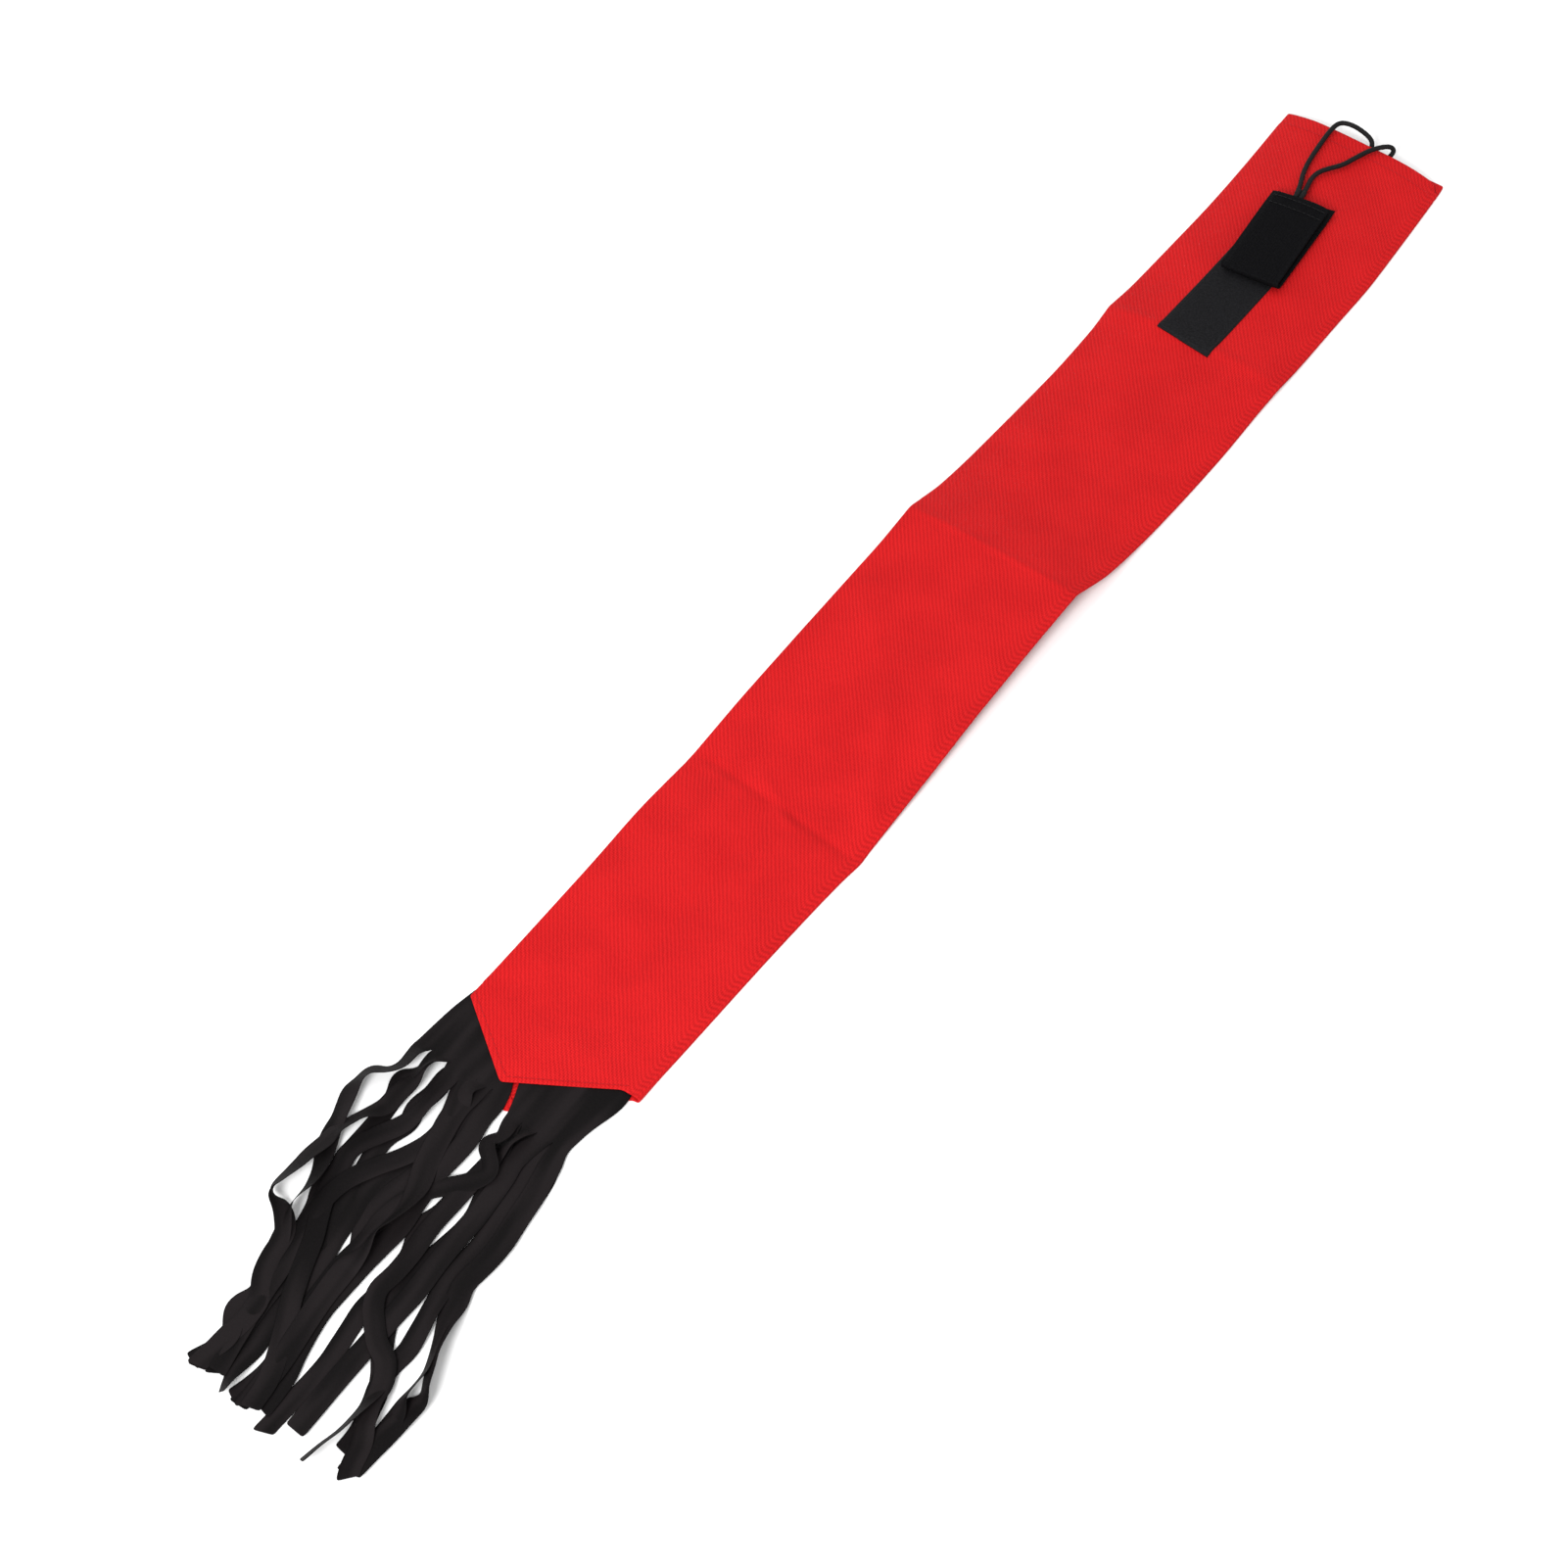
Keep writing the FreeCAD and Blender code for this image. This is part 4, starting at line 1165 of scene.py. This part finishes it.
def hook_tab(tape, hooks, black):
    """The tab: hook tape folded in two with its hooks outside."""
    runs = np.concatenate([
        np.linspace(0.0, TAB_STRAIGHT - 1.0, 60),
        np.linspace(TAB_STRAIGHT, TAB_STRAIGHT + TAB_ARC, 17),
        np.linspace(TAB_STRAIGHT + TAB_ARC + 1.0, TAB_RUN, 60),
    ])
    run, across = np.meshgrid(runs, np.linspace(-1.0, 1.0, 33), indexing="ij")
    middle = TAB_RUN / 2
    trim = 0.5 * np.sin(across * 2.2) * smoothstep(np.abs(run - middle), middle - 6, middle)
    outside = tab_layers(across, run, 0.38 + tape_profile(across) * 0.6)
    inside = tab_layers(across, run, -0.3)
    for layer in (outside, inside):
        layer[..., 1] += trim
    flat = np.stack([across * TAPE_WIDTH / 2, run], axis=-1)
    tab = tape_mesh("hook_tab_tape", tab_place(outside), tab_place(inside), flat, tape)
    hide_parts("hook_closure_tab")
    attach(tab, "closure_tab")

    hook_pieces = []
    for i in range(HOOK_COLUMNS):
        place_across = (HOOK_FIRST_X + i * HOOK_PITCH) / (TAPE_WIDTH / 2)
        direction = 1.0 if i % 2 else -1.0
        for k in range(int(TAB_RUN / HOOK_PITCH) - 1):
            run = 1.2 + (k + 0.5 * (i % 2)) * HOOK_PITCH
            if run > TAB_RUN - 1.0:
                continue
            line = []
            for forward, height in ((0.0, 0.5), (0.0, 0.85), (0.22, 1.02), (0.42, 0.88)):
                at = tab_layers(np.array(place_across), np.array(run + direction * forward), height)
                line.append(tab_place(at))
            hook_pieces.append(tube(line, 0.1, 3))
    joined("hook_tab_hooks", hook_pieces, hooks, "hook_tape", "closure_tab")

    stitches = []
    for from_end in TAB_STITCH_ROWS:
        for i in range(TAB_STITCHES):
            start = TAB_STITCH_FIRST_X + i * TAB_STITCH_PITCH
            ends = [
                tab_place(tab_layers(np.array(x / (TAPE_WIDTH / 2)), np.array(TAB_RUN - from_end), 0.78))
                for x in (start, start + TAB_STITCH_LENGTH)
            ]
            stitches.append(stitch(*ends, 0.3))
    joined("tab_stitches", stitches, black, "black_thread", "closure_tab", "tab_thread")


def anchor_tacks(black):
    """Two bar tacks across the ends of the tape that holds the cord inside the mouth."""
    low, high = [(np.array(corner) - BAG_ORIGIN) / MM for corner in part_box("cord_anchor_tape")]
    pieces = []
    for x in (low[0] + 4.7, high[0] - 4.7):
        y = low[1] + 2.0
        while y < high[1] - 2.0:
            pieces.append(stitch((x - 1.1, y, high[2]), (x + 1.1, y + 0.15, high[2]), 0.25, radius=0.16))
            y += 0.42
    joined("anchor_bar_tack_stitches", pieces, black, "black_thread", "root", "anchor_bar_tacks")


# ---- the fringe ------------------------------------------------------------------------------
CELLS = 4  # mesh cells across one strip
HEADER_ROWS = 9
LAYER_STEP = 0.48  # height from one lying strip to the next

# The side edges of each fringe cloth between the seam and its cuts: x at a share of the way
HEADER_SHARES = [0.0, 0.2, 0.4, 0.7, 1.0]
HEADER_EDGES = {
    "front_left": ([-56.0, -57.5, -59.2, -60.4, -61.2], [-6.0, -4.6, -3.2, -1.0, 1.0]),
    "front_right": ([-2.5, -1.0, 0.6, 3.4, 6.0], [51.0, 54.0, 53.0, 48.5, 47.0]),
    "back_left": ([-52.0, -52.0, -52.0, -51.0, -50.0], [-6.0, -4.6, -3.2, -1.0, 1.0]),
    "back_right": ([-2.5, -0.6, 2.0, 5.4, 8.0], [47.0, 47.0, 47.0, 46.0, 45.0]),
}


def comb(name, layer_z, material):
    """One fringe cloth: an uncut header that is sewn into the point, and its cut strips."""
    corner = name.removeprefix("fringe_")
    strips = FRINGE[corner]
    left_edge, right_edge = HEADER_EDGES[corner]
    slit_y = SLIT_Y[corner.split("_")[1]]
    pick = random.Random(name)
    columns = len(strips) * CELLS + 1
    points = []
    flat = []
    for share in np.linspace(0.0, 1.0, HEADER_ROWS):
        left_x = np.interp(share, HEADER_SHARES, left_edge)
        right_x = np.interp(share, HEADER_SHARES, right_edge)
        for x in np.linspace(left_x, right_x, columns):
            seam_y = float(front_point(x)) + SEAM_ALLOWANCE - 1.0
            y = seam_y + (slit_y - seam_y) * share
            wave = 0.35 * noise.noise(Vector((x / 14.0, y / 14.0, layer_z)))
            points.append((x, y, layer_z + wave * smoothstep(share, 0.3, 1.0)))
            flat.append((x, y))
    faces = grid_faces(HEADER_ROWS, columns)
    root = points[-columns:]
    for i, strip in enumerate(strips):
        root_points = np.array(root[i * CELLS : (i + 1) * CELLS + 1])
        new_points, new_flat = strip_points(root_points, strip, layer_z, pick)
        start = len(points)
        points += new_points
        flat += new_flat
        first = (HEADER_ROWS - 1) * columns + i * CELLS
        for c in range(CELLS):
            faces.append((first + c, first + c + 1, start + c + 1, start + c))
        faces += grid_faces(len(new_points) // (CELLS + 1), CELLS + 1, start=start)
    cloth = make_mesh(name, points, faces, material, flat)
    thicken(cloth, FRINGE_CLOTH)
    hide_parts(f"fringe_header_{corner}", f"fringe_strips_{corner}")
    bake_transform(cloth)


def strip_points(root, strip, layer_z, pick):
    """A strip's vertices row by row, from just past its root to its cut end."""
    first_level, last_level, full_width, line = strip
    line = [(x, y, turn[0] if turn else 0.0) for x, y, *turn in line]
    path = smooth_line([(root[:, 0].mean(), root[:, 1].mean(), 0.0)] + line, 3.0)
    tangent = np.gradient(path[:, :2], axis=0)
    tangent /= np.linalg.norm(tangent, axis=1)[:, None]
    normal = np.stack([-tangent[:, 1], tangent[:, 0]], axis=1)
    root_vector = root[-1, :2] - root[0, :2]
    root_width = np.linalg.norm(root_vector)
    root_vector /= root_width
    if normal[0].dot(root_vector) < 0:
        normal = -normal
    travelled = lengths_along(path[:, :2])
    bias = pick.uniform(-0.4, 0.4)
    curl = pick.uniform(-0.5, 0.7)
    slant = pick.uniform(-2.5, 2.5)
    points = []
    flat = []
    for i in range(1, len(path)):
        gone = travelled[i]
        level = first_level + (last_level - first_level) * gone / travelled[-1]
        lie = 0.25 + LAYER_STEP * level
        # Past its root a strip soon takes its own direction, width, turn and layer
        blend = smoothstep(gone, 0.0, 14.0)
        across = root_vector * (1 - blend) + normal[i] * blend
        across /= np.linalg.norm(across)
        roll = math.radians(path[i, 2]) * smoothstep(gone, 0.0, 6.0)
        width = root_width + (full_width - root_width) * blend
        width *= 1.0 + 0.05 * noise.noise(Vector((gone / 17.0, full_width, bias)))
        level_z = layer_z + (lie - layer_z) * smoothstep(gone, 4.0, 40.0)
        ripple = 0.5 * noise.noise(Vector((gone / 21.0, bias * 9.0, full_width))) + 0.3
        stand = abs(math.sin(roll)) * width / 2
        middle_z = level_z + max(ripple, 0.0) * blend + stand
        lean = (middle_z - layer_z) * blend
        middle_x = path[i, 0] + LEAN[0] * lean
        middle_y = path[i, 1] + LEAN[1] * lean
        last = max(0.0, 1.0 - (travelled[-1] - gone) / 4.0)
        # The strip bows across its width, and its end is cut at a slant
        for c in range(CELLS + 1):
            t = c / CELLS - 0.5
            along = last * slant * t * 2
            bow = curl * (0.25 - t * t) * 2 * blend
            px = middle_x + across[0] * t * width * math.cos(roll) + tangent[i, 0] * along
            py = middle_y + across[1] * t * width * math.cos(roll) + tangent[i, 1] * along
            pz = middle_z + t * width * math.sin(roll) + bow * math.cos(roll)
            points.append((px, py, max(pz, 0.22)))
            flat.append((root[:, 0].mean() + t * full_width, root[:, 1].mean() - gone))
    return points, flat


# ---- putting it together ---------------------------------------------------------------------
def main():
    """Camera and studio, then the cords, the sleeve, the closure and the fringe."""
    camera()
    studio()

    cover = cord_cover()
    left, left_path, left_length = elastic_cord("left", CORD_LEFT, cover)
    right, right_path, right_length = elastic_cord("right", CORD_RIGHT, cover)
    ends = sewn_cord_ends(cover)

    red = thread("red_sewing_thread", linear(150, 12, 20), linear(214, 36, 40))
    black = thread("black_sewing_thread", linear(8, 8, 9), linear(40, 39, 42))
    sleeve(red_cloth())
    sleeve_stitches(red)

    loop_strip(tape_cloth("black_loop_tape", 36, 0.06),
               fibre("black_loop_fibre", linear(6, 6, 7), linear(52, 50, 55)), black)
    hook_tab(tape_cloth("black_hook_tape", 18, 0.03),
             fibre("black_hook_fibre", linear(3, 3, 4), linear(18, 17, 19)), black)
    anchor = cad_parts["cord_anchor_tape"]
    anchor.data.materials.clear()
    anchor.data.materials.append(webbing())
    anchor_tacks(black)

    fringe = fringe_cloth()
    for side in ("left", "right"):
        comb(f"fringe_back_{side}", HEADER_BACK_Z, fringe)
        comb(f"fringe_front_{side}", HEADER_FRONT_Z, fringe)


main()
